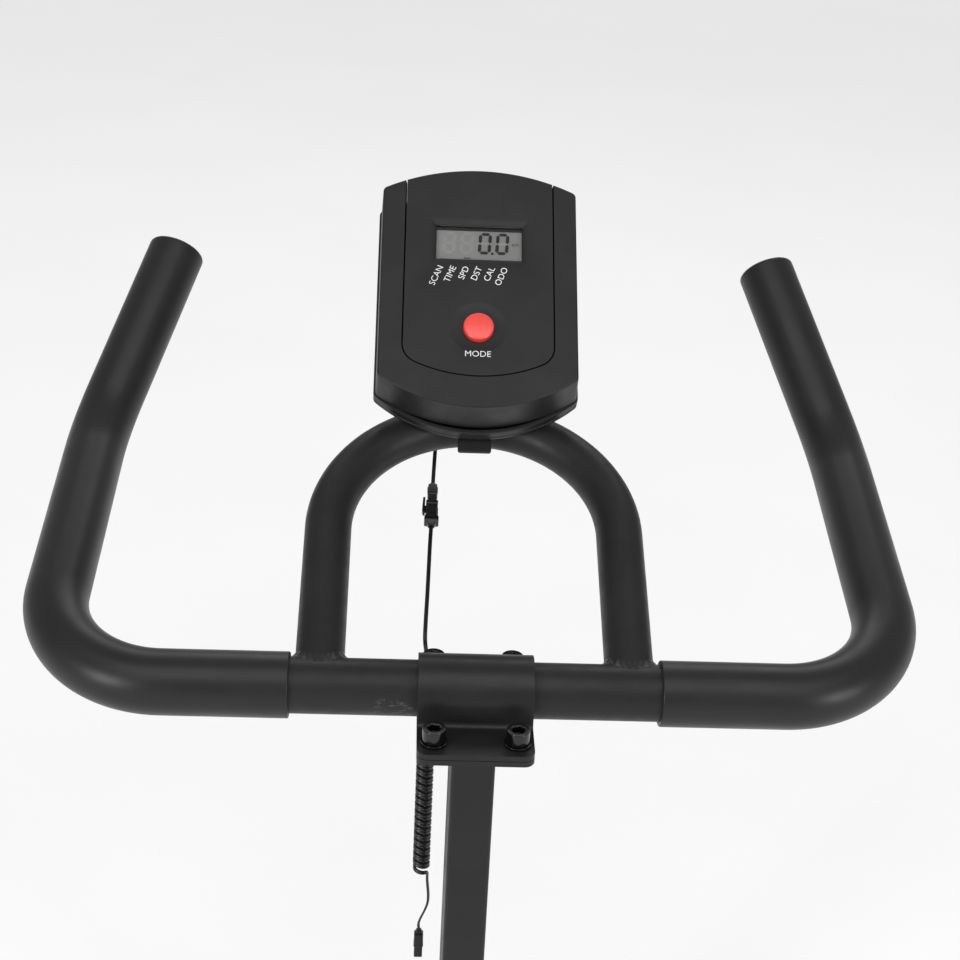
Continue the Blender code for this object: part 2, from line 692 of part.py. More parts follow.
def build_display():
    under_panel = FACE_HEIGHT - PANEL_THICKNESS - GAP
    lens_centre = (0, LCD_CENTRE_Y, under_panel - LENS_SIZE[2] / 2)
    add_part("lcd_lens", box_mesh("lcd_lens", LENS_SIZE, lens_centre), "clear_lens", CONSOLE)
    glass_top = under_panel - LENS_SIZE[2] - GAP
    glass_centre = (0, LCD_CENTRE_Y, glass_top - LCD_GLASS_SIZE[2] / 2)
    glass = box_mesh("lcd_glass", LCD_GLASS_SIZE, glass_centre)
    add_part("lcd_glass", glass, "lcd_glass", CONSOLE)
    board_top = glass_top - LCD_GLASS_SIZE[2] - GAP
    board_centre = (0, BOARD_CENTRE_Y, board_top - BOARD_SIZE[2] / 2)
    board = box_mesh("circuit_board", BOARD_SIZE, board_centre)
    add_part("circuit_board", board, "board_green", CONSOLE)
    switch_top = button_flange_bottom() - BUTTON_TRAVEL - GAP
    switch_bottom = board_top + GAP
    switch_height = switch_top - switch_bottom
    switch = box_mesh("tact_switch", (0.0060, 0.0060, switch_height),
                      (0, BUTTON_CENTRE_Y, switch_bottom + switch_height / 2))
    add_part("tact_switch", switch, "plug_plastic", CONSOLE)
    buzzer = cylinder_mesh("buzzer", 0.0060, board_top + GAP, board_top + 0.0043,
                           (0.0280, 0.0600), sides=16)
    add_part("buzzer", buzzer, "plug_plastic", CONSOLE)


def button_flange_bottom():
    return FACE_HEIGHT - PANEL_THICKNESS - GAP - 0.0012


def build_button():
    """The mode button: a low domed cap with a flange that the panel holds in."""
    face = FACE_HEIGHT
    flange_top = face - PANEL_THICKNESS - GAP
    profile = [(0.0, face + BUTTON_PROUD), (BUTTON_RADIUS * 0.55, face + BUTTON_PROUD - 0.0003),
               (BUTTON_RADIUS * 0.85, face + BUTTON_PROUD - 0.0009),
               (BUTTON_RADIUS, face + BUTTON_PROUD - 0.0021), (BUTTON_RADIUS, flange_top),
               (BUTTON_FLANGE_RADIUS, flange_top), (BUTTON_FLANGE_RADIUS, button_flange_bottom()),
               (0.0, button_flange_bottom())]
    turned("mode_button", profile, 24, "button_red", CONSOLE, (0, BUTTON_CENTRE_Y, 0))


def build_rear_shell():
    sections = [(console_outline(BACK_HALF_WIDTH, -EDGE_DROP, REAR_BOW), BACK_HEIGHT),
                (console_outline(BACK_HALF_WIDTH, 0.0, REAR_BOW), BACK_HEIGHT + EDGE_DROP),
                (console_outline(BACK_HALF_WIDTH, 0.0, REAR_BOW), PARTING_HEIGHT - GAP)]
    shell = add_part("rear_shell", loft_mesh("rear_shell", sections), "console_plastic", CONSOLE)
    cavity = loft_mesh("rear_cavity", [
        (console_outline(BACK_HALF_WIDTH, -REAR_CAVITY_INSET, REAR_BOW), BACK_HEIGHT + SHELL_WALL),
        (console_outline(BACK_HALF_WIDTH, -REAR_CAVITY_INSET, REAR_BOW),
         PARTING_HEIGHT + CAVITY_MARGIN)])
    combine(shell, add_cutter("rear_cavity", cavity, CONSOLE))
    door_gap = 0.0005
    door_middle = DOOR_HINGE_Y + DOOR_SIZE[1] / 2
    opening = box_mesh("door_opening", (DOOR_SIZE[0] + 2 * door_gap,
                                        DOOR_SIZE[1] + 2 * door_gap, 0.010),
                       (0, door_middle, BACK_HEIGHT))
    combine(shell, add_cutter("door_opening", opening, CONSOLE))
    for index, (x, y) in enumerate(screw_places()):
        hole = cylinder_mesh("screw_hole", SCREW_HOLE_RADIUS, 0.010, 0.022, (x, y), sides=10)
        combine(shell, add_cutter(f"screw_hole_{index + 1}", hole, CONSOLE))
    for index, y in enumerate(TONGUE_SCREWS_Y):
        hole = cylinder_mesh("tongue_screw_hole", SCREW_HOLE_RADIUS, 0.010, 0.022, (0, y), sides=10)
        combine(shell, add_cutter(f"shell_tongue_hole_{index + 1}", hole, CONSOLE))
    lead_hole = cylinder_mesh("lead_hole", 0.0032, 0.010, 0.024, grommet_place(), sides=16)
    combine(shell, add_cutter("lead_hole", lead_hole, CONSOLE))


def grommet_place():
    """Where the lead leaves the console's back, in the console's own X and Y."""
    local = CONSOLE.matrix_basis.inverted() @ (BAR_AXIS + Vector(PIGTAIL_ROUTE[0]))
    return (local.x, local.y)


def build_battery_bay():
    door_middle = DOOR_HINGE_Y + DOOR_SIZE[1] / 2
    hinge = bpy.data.objects.new("battery_door_hinge", None)
    hinge.location = (0, DOOR_HINGE_Y, BACK_HEIGHT)
    hinge.parent = CONSOLE
    PARTS.objects.link(hinge)
    door = box_mesh("battery_door", DOOR_SIZE, (0, DOOR_SIZE[1] / 2, DOOR_SIZE[2] / 2))
    add_part("battery_door", door, "console_plastic", hinge)
    cell_height = BACK_HEIGHT + SHELL_WALL + CELL_RADIUS + 0.0010
    for index, offset in enumerate((-0.0095, 0.0095)):
        profile = [(0.0, CELL_LENGTH / 2), (0.0026, CELL_LENGTH / 2),
                   (0.0026, CELL_LENGTH / 2 - 0.0015), (CELL_RADIUS, CELL_LENGTH / 2 - 0.0015),
                   (CELL_RADIUS, -CELL_LENGTH / 2), (0.0, -CELL_LENGTH / 2)]
        cell = turned(f"battery_{index + 1}", profile, 16, "cell_wrap", CONSOLE,
                      (0, door_middle + offset, cell_height))
        cell.rotation_euler = (0, math.radians(90 if index else -90), 0)
    for name, side in (("battery_contact_left", -1), ("battery_contact_right", 1)):
        place = (side * (CELL_LENGTH / 2 + 0.0012), door_middle, cell_height)
        contact = box_mesh(name, (0.0008, 0.0340, 0.0110), place)
        add_part(name, contact, "contact_metal", CONSOLE)


def build_screws():
    """Pan head screws: four hold the shells, two hold the console to its tongue."""
    for index, (x, y) in enumerate(screw_places()):
        add_screw(f"shell_screw_{index + 1}", SHELL_SCREW_LENGTH, (x, y, BACK_HEIGHT))
    tongue_underside = HOOP_TUBE_RADIUS + GAP
    for index, y in enumerate(TONGUE_SCREWS_Y):
        add_screw(f"tongue_screw_{index + 1}", TONGUE_SCREW_LENGTH, (0, y, tongue_underside))


def add_screw(name, length, location):
    """Turn a screw whose head hangs below its seat; the profile runs top to bottom."""
    profile = [(0.0, length), (SCREW_RADIUS, length), (SCREW_RADIUS, -GAP),
               (SCREW_HEAD_RADIUS, -GAP), (SCREW_HEAD_RADIUS * 0.7, -SCREW_HEAD_HEIGHT * 0.9),
               (0.0, -SCREW_HEAD_HEIGHT)]
    turned(name, profile, 10, "black_oxide_steel", CONSOLE, location)


def build_tongue():
    """The steel strip welded over the hoop's crown that carries the console."""
    low = HOOP_TUBE_RADIUS + GAP
    outline = rounded_rectangle(TONGUE_WIDTH, TONGUE_TOP - TONGUE_BOTTOM, 0.0015, 2)
    centre = (TONGUE_TOP + TONGUE_BOTTOM) / 2
    outline = [(x, y + centre) for x, y in outline]
    mesh = plate_mesh("console_bracket", outline, low, low + TONGUE_THICKNESS)
    tongue = add_part("console_bracket", mesh, "tube_paint", CONSOLE)
    for index, y in enumerate(TONGUE_SCREWS_Y):
        hole = cylinder_mesh("tongue_hole", SCREW_HOLE_RADIUS, 0.010, 0.020, (0, y), sides=10)
        combine(tongue, add_cutter(f"tongue_hole_{index + 1}", hole, CONSOLE))


# ------------------------------------------------------------ sensor lead
def lead_frame(start, finish):
    """A matrix whose -Z runs from start to finish and whose X stays level."""
    down = (finish - start).normalized()
    side = Vector((1, 0, 0))
    side = (side - down * side.dot(down)).normalized()
    forward = (-down).cross(side)
    turn = Matrix((side, forward, -down)).transposed().to_4x4()
    return Matrix.Translation(start) @ turn


def build_leads():
    pigtail = [BAR_AXIS + Vector(point) for point in PIGTAIL_ROUTE]
    lead = [BAR_AXIS + Vector(point) for point in LEAD_ROUTE]
    pigtail_points = smooth_route(pigtail, LEAD_SPACING)
    lead_points = smooth_route(lead, LEAD_SPACING)
    add_part("lead_pigtail", tube_mesh("lead_pigtail", pigtail_points, LEAD_RADIUS), "lead_pvc")
    add_part("lead_lower", tube_mesh("lead_lower", lead_points, LEAD_RADIUS), "lead_pvc")
    build_connector("connector", pigtail[-1], lead[0])

    curl_top = BAR_HEIGHT - CURLY_TOP_BELOW_BAR
    curl_bottom = curl_top - CURLY_LENGTH
    curl = cylinder_mesh("lead_curly", CURLY_RADIUS, curl_bottom, curl_top,
                         (CURLY_X, CURLY_Y), sides=16)
    add_part("lead_curly", curl, "lead_pvc")

    tail_top = Vector((CURLY_X, CURLY_Y, curl_bottom - GAP))
    tail_bottom = tail_top - Vector((0, 0, TAIL_LENGTH))
    middle = (tail_top + tail_bottom) / 2 + Vector((TAIL_BOW, 0, 0))
    tail_points = smooth_route([tail_top, middle, tail_bottom], LEAD_SPACING)
    add_part("lead_tail", tube_mesh("lead_tail", tail_points, LEAD_RADIUS), "lead_pvc")
    tail_frame = Matrix.Translation(tail_bottom - Vector((0, 0, GAP)))
    plug = connector_half("tail_plug", 0.0062, 0.0058, 0.0, -0.0210, tail_frame)
    add_part("tail_plug", plug, "plug_plastic")


def connector_half(name, width, depth, top, bottom, frame):
    outline = rounded_rectangle(width, depth, 0.0008, 2)
    return plate_mesh(name, outline, bottom, top, frame)


def build_connector(name, start, finish):
    """A two-pin inline connector: plug body above, latched socket below."""
    frame = lead_frame(start, finish)
    length = (finish - start).length - GAP - LEAD_JOINT_GAP
    split = -GAP - length * 0.45
    plug = connector_half(f"{name}_plug", 0.0064, 0.0058, -GAP, split, frame)
    add_part(f"{name}_plug", plug, "plug_plastic")
    socket_mesh = connector_half(f"{name}_socket", 0.0092, 0.0072, split - GAP,
                                 -GAP - length, frame)
    socket = add_part(f"{name}_socket", socket_mesh, "plug_plastic")
    latch = plate_mesh("latch", [(-0.0075, split - 0.010), (-0.0040, split - 0.014),
                                 (-0.0040, split - 0.004), (-0.0062, split + 0.004),
                                 (-0.0075, split + 0.004)], -0.0020, 0.0020,
                       frame @ Matrix(((1, 0, 0, 0), (0, 0, 1, 0), (0, 1, 0, 0), (0, 0, 0, 1))))
    combine(socket, add_cutter("connector_latch", latch), "UNION")


def build_grommet():
    """The rubber bush that the lead leaves the console's back through."""
    place = grommet_place()
    lead_bore = LEAD_RADIUS + 0.0003
    profile = [(lead_bore, 0.0042), (0.0044, 0.0042), (0.0044, 0.0024), (0.0029, 0.0024),
               (0.0029, -0.0003), (0.0042, -0.0003), (0.0034, -0.0034), (lead_bore, -0.0034)]
    turned("lead_grommet", profile, 14, "grip_rubber", CONSOLE, (*place, BACK_HEIGHT))


def main():
    build_post()
    build_post_plug()
    build_clamp_base()
    build_clamp_cap()
    build_fasteners()
    build_bar()
    build_grips()
    build_hoop()
    build_tongue()
    build_front_shell()
    build_insert_panel()
    build_display()
    build_button()
    build_rear_shell()
    build_battery_bay()
    build_screws()
    build_grommet()
    build_leads()


main()
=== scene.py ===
"""Looks of the exercise bike handlebar: tubes, foam grips, console, clamp, post and lead.

Metres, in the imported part's frame: +Z up, +Y away from the rider, +X to the rider's right.
"""
import json
from math import acos, atan, atan2, copysign, cos, degrees, pi, radians, sin, sqrt, tan

import bmesh
import bpy
from mathutils import Matrix, Vector


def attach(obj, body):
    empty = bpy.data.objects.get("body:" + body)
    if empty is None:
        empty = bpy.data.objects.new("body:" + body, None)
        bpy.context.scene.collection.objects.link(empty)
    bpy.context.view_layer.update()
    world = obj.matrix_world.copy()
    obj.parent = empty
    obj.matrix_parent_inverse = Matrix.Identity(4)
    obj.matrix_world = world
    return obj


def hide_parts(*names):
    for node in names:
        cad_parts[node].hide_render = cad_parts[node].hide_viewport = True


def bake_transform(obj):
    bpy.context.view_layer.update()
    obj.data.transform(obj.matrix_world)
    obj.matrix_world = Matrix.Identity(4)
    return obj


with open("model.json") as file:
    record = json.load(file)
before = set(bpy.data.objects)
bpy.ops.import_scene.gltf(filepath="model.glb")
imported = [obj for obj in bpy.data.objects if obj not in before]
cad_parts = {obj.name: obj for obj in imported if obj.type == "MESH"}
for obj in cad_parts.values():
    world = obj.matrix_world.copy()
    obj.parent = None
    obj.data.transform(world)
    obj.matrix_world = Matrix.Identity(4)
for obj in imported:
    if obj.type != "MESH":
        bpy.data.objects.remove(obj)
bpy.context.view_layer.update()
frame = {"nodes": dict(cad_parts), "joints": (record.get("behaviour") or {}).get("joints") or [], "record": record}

MM = 0.001
UP = Vector((0, 0, 1))

# ------------------------------------------------------------- places from CAD
JOINTS = {joint["name"]: joint for joint in frame["joints"]}
BAR = Vector(JOINTS["handlebar_tilt"]["pos_m"])
PRESS = Vector(JOINTS["mode_button_press"]["axis"]).normalized()
FACE_TILT = atan2(PRESS.y, -PRESS.z)

BAR_RADIUS = 16.0 * MM
GRIP_RADIUS = 18.8 * MM
GRIP_START = 104.5 * MM
ARM_CORNER = Vector((246.2, 0.0, 0.0)) * MM
ARM_KINK = Vector((242.0, 213.0, 56.2)) * MM
ARM_END = Vector((202.0, 315.0, 145.5)) * MM
CORNER_BEND = 68.0 * MM
KINK_BEND = 99.0 * MM

HOOP_RADIUS = 14.1 * MM
HOOP_HALF_WIDTH = 88.4 * MM
HOOP_LEG = 114.5 * MM
HOOP_RISE = radians(23.0)
WELD_LEG = 4.2 * MM

FACE = 57.0 * MM                 # console levels, above the hoop's centreline
PARTING = 28.4 * MM
BACK = 18.0 * MM
GLASS_TOP = FACE - 4.3 * MM
LCD_Y = 102.0 * MM
BUTTON_Y = 39.0 * MM
DOOR_HINGE_Y = 62.0 * MM

PIGTAIL_ROUTE = (
    (-0.0215, 0.2125, 0.1150),
    (-0.0220, 0.2170, 0.1050),
    (-0.0226, 0.2175, 0.0850),
    (-0.0232, 0.2090, 0.0610),
    (-0.0240, 0.1960, 0.0475),
    (-0.0247, 0.1800, 0.0400),
)
LEAD_ROUTE = (
    (-0.0256, 0.1395, 0.0295),
    (-0.0262, 0.1250, 0.0235),
    (-0.0272, 0.0920, 0.0105),
    (-0.0280, 0.0700, 0.0030),
    (-0.0282, 0.0590, -0.0040),
    (-0.0270, 0.0555, -0.0150),
    (-0.0258, 0.0550, -0.0250),
    (-0.0255, 0.0550, -0.0327),
)
GAP = 0.3 * MM                   # clearance between touching pieces
LEAD_WIDTH = 2.6 * MM
LEAD_CORE = 0.70 * MM            # radius of one of the two cores
TAIL_LENGTH = 45.0 * MM
TAIL_BOW = 3.0 * MM
CURL_TOP = Vector((-25.5, 55.0, -33.0)) * MM
CURL_LENGTH = 140.0 * MM
CURL_PITCH = 5.4 * MM
CURL_RADIUS = 4.35 * MM
CURL_CORE = 1.15 * MM
CURL_STEPS = 22                  # points on each turn
CURL_BEND = 3.4 * MM             # radius of the bend into and out of the helix
CURL_LEAD_IN = 1.0 * MM

FACE_HALF_WIDTH = 61.2 * MM
SIDE_STEP = 0.6 * MM
PARTING_HALF_WIDTH = 63.0 * MM
BACK_HALF_WIDTH = 64.2 * MM
FACE_TOP = 155.6 * MM
FACE_TOP_CORNER = 141.0 * MM
FACE_BOTTOM = -16.0 * MM
FACE_BOTTOM_CORNER = 3.5 * MM
CORNER_ROUND = 4.0 * MM
CHORD_INSET = 1.8 * MM
EDGE_ROUND = 1.0 * MM
PANEL_HALF_WIDTH = 47.1 * MM
PANEL_BOTTOM = 5.3 * MM
PANEL_BOTTOM_CORNER = 15.0 * MM
PANEL_CHORD = 41.2 * MM
PANEL_ROUND = 14.0 * MM
SEAM = 0.9 * MM
REAR_BOW = 3.7 * MM              # how much further the rear shell's lower edge bows out
LCD_BEZEL = (63.0 * MM, 34.0 * MM)
LCD_WINDOW = (55.0 * MM, 25.0 * MM)
BUTTON_HOLE = 9.9 * MM
DISH_RADIUS = 18.5 * MM
DISH_DEPTH = 1.0 * MM
DOOR_WIDTH = 64.0 * MM
DOOR_DEPTH = 50.0 * MM
DIGIT_FOOT = LCD_Y - 6.0 * MM
DIGIT_SLANT = 0.07
MARK_THICKNESS = 0.03 * MM
LABEL_START = -24.0 * MM
LABEL_STEP = 8.15 * MM
LABEL_END_Y = 82.9 * MM
LABEL_TURN = radians(68.0)
LABEL_SIZE = 5.8 * MM
MODE_LABEL = (-0.3 * MM, 20.5 * MM)

CLAMP_WIDTH = 65.0 * MM
CLAMP_DEPTH = 96.6 * MM
CLAMP_CORNER = 6.0 * MM
CAP_RADIUS = 20.0 * MM
CAP_BORE = 16.6 * MM
SADDLE_BORE = 16.35 * MM
FLANGE_DROP = 11.9 * MM          # top of the flange, below the bar's axis
PLATE = 3.3 * MM
BOLT_X = 23.1 * MM
FRONT_BOLT_Y = 36.3 * MM
REAR_BOLT_Y = 40.4 * MM
WASHER = 1.6 * MM
HEAD_HEIGHT = 8.0 * MM
HEAD_RADIUS = 6.5 * MM
HEAD_ROUND = 0.55 * MM
POST_WIDTH = 25.0 * MM
POST_DEPTH = 50.0 * MM
POST_CORNER = 2.6 * MM
POST_FOOT = 3.3 * MM
POST_TOP = 380.0 * MM
PLATE_LOW = POST_TOP + GAP
POST_HOLES = 6
HOLE_START = 60.0 * MM
HOLE_PITCH = 30.0 * MM
HOLE_RADIUS = 4.5 * MM

CONSOLE = (Matrix.Translation(BAR + (HOOP_LEG + HOOP_HALF_WIDTH)
                              * Vector((0, cos(HOOP_RISE), sin(HOOP_RISE))))
           @ Matrix.Rotation(FACE_TILT, 4, "X"))


# ------------------------------------------------------------------- materials
class Graph:
    """One material, with short ways to set its shader and to add and join nodes."""

    def __init__(self, name, **inputs):
        self.material = bpy.data.materials.new(name)
        self.material.use_nodes = True
        self.tree = self.material.node_tree
        self.shader = self.tree.nodes["Principled BSDF"]
        self.place = self.add("ShaderNodeTexCoord").outputs["Object"]
        for key, value in inputs.items():
            self.shader.inputs[key.replace("_", " ")].default_value = value

    def add(self, kind, **values):
        """A new node; each value sets an attribute or, where there is none, an input."""
        node = self.tree.nodes.new(kind)
        for key, value in values.items():
            if hasattr(node, key):
                setattr(node, key, value)
            else:
                node.inputs[key.title()].default_value = value
        return node

    def join(self, source, target):
        self.tree.links.new(source, target)

    def feed(self, source, name):
        """Join a source to one of the shader's own inputs."""
        self.join(source, self.shader.inputs[name])

    def noise(self, scale, detail=2.0, roughness=0.5, stretch=None):
        node = self.add("ShaderNodeTexNoise", scale=scale, detail=detail, roughness=roughness)
        place = self.place
        if stretch is not None:
            mapping = self.add("ShaderNodeMapping")
            mapping.inputs["Scale"].default_value = stretch
            self.join(place, mapping.inputs["Vector"])
            place = mapping.outputs["Vector"]
        self.join(place, node.inputs["Vector"])
        return node.outputs["Fac"]

    def cells(self, scale):
        node = self.add("ShaderNodeTexVoronoi", scale=scale)
        self.join(self.place, node.inputs["Vector"])
        return node.outputs["Distance"]

    def remap(self, source, low, high, start=0.35, stop=0.65):
        node = self.add("ShaderNodeMapRange")
        limits = {"From Min": start, "From Max": stop, "To Min": low, "To Max": high}
        for name, value in limits.items():
            node.inputs[name].default_value = value
        self.join(source, node.inputs["Value"])
        return node.outputs["Result"]

    def tint(self, source, dark, light, before=None):
        node = self.add("ShaderNodeMix", data_type="RGBA")
        node.inputs[6].default_value = (*dark, 1.0)
        node.inputs[7].default_value = (*light, 1.0)
        self.join(source, node.inputs[0])
        if before is not None:
            self.join(before, node.inputs[6])
        return node.outputs[2]

    def mottled(self, source, color, spread):
        """A source's mix of two shades, a share under and over a colour."""
        return self.tint(self.remap(source, 0.0, 1.0), shade(color, 1 - spread),
                         shade(color, 1 + spread))

    def near(self, place, radius):
        """One at a place, falling to zero at the radius."""
        gap = self.add("ShaderNodeVectorMath", operation="DISTANCE")
        gap.inputs[1].default_value = place
        self.join(self.place, gap.inputs[0])
        return self.remap(gap.outputs["Value"], 1.0, 0.0, radius * 0.4, radius)

    def combined(self, operation, first, second):
        """Two sources, or a source and a plain number, put together."""
        node = self.add("ShaderNodeMath", operation=operation)
        self.join(first, node.inputs[0])
        if isinstance(second, float):
            node.inputs[1].default_value = second
        else:
            self.join(second, node.inputs[1])
        return node.outputs["Value"]

    def bump(self, source, strength, distance, before=None):
        node = self.add("ShaderNodeBump", strength=strength, distance=distance)
        self.join(source, node.inputs["Height"])
        if before is not None:
            self.join(before, node.inputs["Normal"])
        return node.outputs["Normal"]


def shade(color, share):
    return tuple(channel * share for channel in color)


def moulded(name, color, roughness, grain=1400.0, depth=0.03, metallic=0.0, spread=0.12,
            coat=0.0, specular=0.5):
    """A surface with fine grain, faint mottling and uneven gloss."""
    graph = Graph(name, Metallic=metallic, Coat_Weight=coat, Coat_Roughness=0.25,
                  Specular_IOR_Level=specular)
    graph.feed(graph.mottled(graph.noise(38.0, 3.0), color, spread), "Base Color")
    graph.feed(graph.remap(graph.noise(90.0, 4.0), roughness - 0.04, roughness + 0.04), "Roughness")
    graph.feed(graph.bump(graph.noise(grain, 3.0, 0.6), 0.3, depth * MM), "Normal")
    return graph.material


def powder_coat(name, color, roughness, specular=0.35, worn=False):
    """Baked powder paint: a soft orange peel under a fine grain, with a rubbed patch if worn."""
    graph = Graph(name, Specular_IOR_Level=specular)
    tone = graph.mottled(graph.noise(30.0, 4.0), color, 0.10)
    gloss = graph.remap(graph.noise(140.0, 3.0), roughness - 0.04, roughness + 0.05)
    if worn:
        streaks = graph.remap(graph.noise(260.0, 6.0, 0.72, (0.6, 1.4, 1.4)), 0.0, 1.0, 0.53, 0.60)
        rubbed = graph.combined("MULTIPLY", graph.near(BAR + RUB_PLACE, RUB_RADIUS), streaks)
        tone = graph.tint(rubbed, color, shade(color, 9.0), tone)
        gloss = graph.combined("ADD", gloss, graph.combined("MULTIPLY", rubbed, 0.16))
    graph.feed(tone, "Base Color")
    graph.feed(gloss, "Roughness")
    peel = graph.bump(graph.noise(420.0, 2.0), 0.22, 0.05 * MM)
    graph.feed(graph.bump(graph.noise(2600.0, 2.0), 0.20, 0.02 * MM, peel), "Normal")
    return graph.material


def foam(name, color, specular, roughness):
    """Skinned closed-cell foam: a satin skin with fine pores and faint rub marks."""
    graph = Graph(name, Specular_IOR_Level=specular, Sheen_Weight=0.02, Sheen_Roughness=0.5)
    graph.feed(graph.mottled(graph.noise(26.0, 4.0, 0.6), color, 0.07), "Base Color")
    graph.feed(graph.remap(graph.noise(45.0, 4.0), roughness - 0.03, roughness + 0.04), "Roughness")
    pores = graph.bump(graph.cells(1700.0), 0.16, 0.03 * MM)
    graph.feed(graph.bump(graph.noise(3200.0, 2.0), 0.14, 0.02 * MM, pores), "Normal")
    return graph.material


def display(name, color):
    """The liquid crystal's grey reflector, a little uneven, as such displays are."""
    graph = Graph(name)
    graph.feed(graph.mottled(graph.noise(26.0, 3.0), color, 0.05), "Base Color")
    graph.feed(graph.remap(graph.noise(2400.0, 2.0), 0.32, 0.42), "Roughness")
    return graph.material


def clear(name):
    """The acrylic lens: nearly all see-through, with a faint gloss."""
    graph = Graph(name, Alpha=0.07)
    graph.feed(graph.remap(graph.noise(60.0, 4.0), 0.05, 0.12), "Roughness")
    tone = graph.remap(graph.noise(40.0, 2.0), 0.0, 1.0)
    graph.feed(graph.tint(tone, (0.020, 0.021, 0.020), (0.026, 0.027, 0.026)), "Base Color")
    graph.material.surface_render_method = "BLENDED"
    return graph.material


RUB_PLACE = Vector((-46.0, -11.0, -11.0)) * MM   # rubbed paint beside the clamp
RUB_RADIUS = 17.0 * MM

MATERIALS = {
    "tube_paint": powder_coat("powder_coat_black", (0.0130, 0.0130, 0.0132), 0.44,
                              specular=0.25),
    "clamp_paint": powder_coat("powder_coat_clamp", (0.0115, 0.0115, 0.0118), 0.38, specular=0.28),
    "grip_foam": foam("grip_foam", (0.0115, 0.0115, 0.0115), 0.30, 0.38),
    "console_plastic": moulded("console_plastic", (0.0130, 0.0130, 0.0133), 0.46,
                               specular=0.30),
    "black_oxide_steel": moulded("black_oxide", (0.0028, 0.0028, 0.0030), 0.13, grain=900.0,
                                 depth=0.01, specular=0.50),
    "plug_plastic": moulded("connector_nylon", (0.0040, 0.0040, 0.0040), 0.30, grain=1800.0,
                            specular=0.40),
    "button_red": moulded("button_red", (0.78, 0.058, 0.046), 0.28, grain=2000.0,
                          depth=0.01, spread=0.03, coat=0.4),
    "clear_lens": clear("acrylic_lens"),
    "lcd_glass": display("lcd_reflector", (0.235, 0.235, 0.230)),
    "board_green": moulded("solder_resist", (0.020, 0.160, 0.060), 0.35, grain=600.0),
    "cell_wrap": moulded("cell_sleeve", (0.050, 0.120, 0.300), 0.30, grain=500.0),
    "contact_metal": moulded("nickel_plate", (0.60, 0.60, 0.58), 0.28, metallic=1.0),
    "lead_pvc": moulded("lead_pvc", (0.0070, 0.0070, 0.0070), 0.32, grain=1100.0),
}
PRINT_WHITE = moulded("print_white", (0.80, 0.80, 0.80), 0.50, spread=0.05)
SEGMENT_DARK = moulded("segment_dark", (0.007, 0.007, 0.007), 0.40, spread=0.10)
SEGMENT_GHOST = moulded("segment_ghost", (0.272, 0.272, 0.266), 0.40, spread=0.05)
WELD_PAINT = powder_coat("weld_paint", (0.0095, 0.0095, 0.0098), 0.38)
RUBBED_PAINT = powder_coat("powder_coat_rubbed", (0.0130, 0.0130, 0.0132), 0.44, 0.25, True)
RUBBER = foam("bush_rubber", (0.0090, 0.0090, 0.0090), 0.30, 0.55)


# --------------------------------------------------------------- mesh helpers
def linked(name, data):
    """A new object, put in the scene."""
    made = bpy.data.objects.new(name, data)
    bpy.context.scene.collection.objects.link(made)
    return made


def mesh_of(bm, name):
    """The bmesh as a mesh; the bmesh itself is freed."""
    mesh = bpy.data.meshes.new(name)
    bm.to_mesh(mesh)
    bm.free()
    return mesh


def piece(name, bm, slot, body="handlebar", replaced=(), material=None, sharp=40.0, wall=None,
          bevel=None, cut=None, matrix=None, facing=None):
    """Finish a bmesh as a named piece that rides on a body and stands for CAD nodes.

    A piece that is given a CAD node's name stands for that node, and gets "_shape" added.
    """
    bmesh.ops.recalc_face_normals(bm, faces=bm.faces)
    if facing is not None:
        outward = sum((face.normal * face.calc_area() for face in bm.faces), Vector())
        if outward.dot(facing) < 0:
            bmesh.ops.reverse_faces(bm, faces=bm.faces)
    if matrix is not None:
        bm.transform(matrix)
    mesh = mesh_of(bm, name)
    if name in frame["nodes"]:
        replaced = (name,)
        name += "_shape"
    made = linked(name, mesh)
    if wall or bevel or cut:
        mesh = shaped(made, wall, bevel, cut)
    mesh.shade_smooth()
    mesh.set_sharp_from_angle(angle=radians(sharp))
    mesh.materials.clear()
    mesh.materials.append(material or MATERIALS[slot])
    even = made.modifiers.new("even_shading", "WEIGHTED_NORMAL")
    even.keep_sharp = True
    if body:
        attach(made, body)
    if replaced:
        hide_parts(*replaced)
    return made


def shaped(made, wall, bevel, cut):
    """Thicken, cut and bevel a piece, and leave the result as its own mesh."""
    if wall:
        solid = made.modifiers.new("wall", "SOLIDIFY")
        solid.thickness = wall
        solid.offset = -1.0
        solid.use_even_offset = True
    if cut:
        holes = made.modifiers.new("holes", "BOOLEAN")
        holes.operation = "DIFFERENCE"
        holes.object = cut
    if bevel:
        edges = made.modifiers.new("edges", "BEVEL")
        edges.width = bevel
        edges.segments = 3
        edges.limit_method = "ANGLE"
        edges.angle_limit = radians(50)
    bpy.context.view_layer.update()
    depsgraph = bpy.context.evaluated_depsgraph_get()
    mesh = bpy.data.meshes.new_from_object(made.evaluated_get(depsgraph))
    made.modifiers.clear()
    made.data = mesh
    return mesh


def ring(bm, points):
    return [bm.verts.new(point) for point in points]


def bridge(bm, low, high, closed=True):
    count = len(low)
    for index in range(count if closed else count - 1):
        after = (index + 1) % count
        bm.faces.new((low[index], low[after], high[after], high[index]))


def loft(bm, rows, closed=True):
    """Bridge a list of rows of points, and give the rows of vertices back."""
    made = [ring(bm, row) for row in rows]
    for low, high in zip(made, made[1:]):
        bridge(bm, low, high, closed)
    return made


def capped(bm, rows):
    """A loft whose first and last rows are filled."""
    made = loft(bm, rows)
    bm.faces.new(made[0])
    bm.faces.new(made[-1])


def lifted(outline, height, matrix=None):
    """A flat outline of (x, y) at one height, placed by matrix."""
    points = [Vector((x, y, height)) for x, y in outline]
    if matrix is None:
        return points
    return [matrix @ point for point in points]


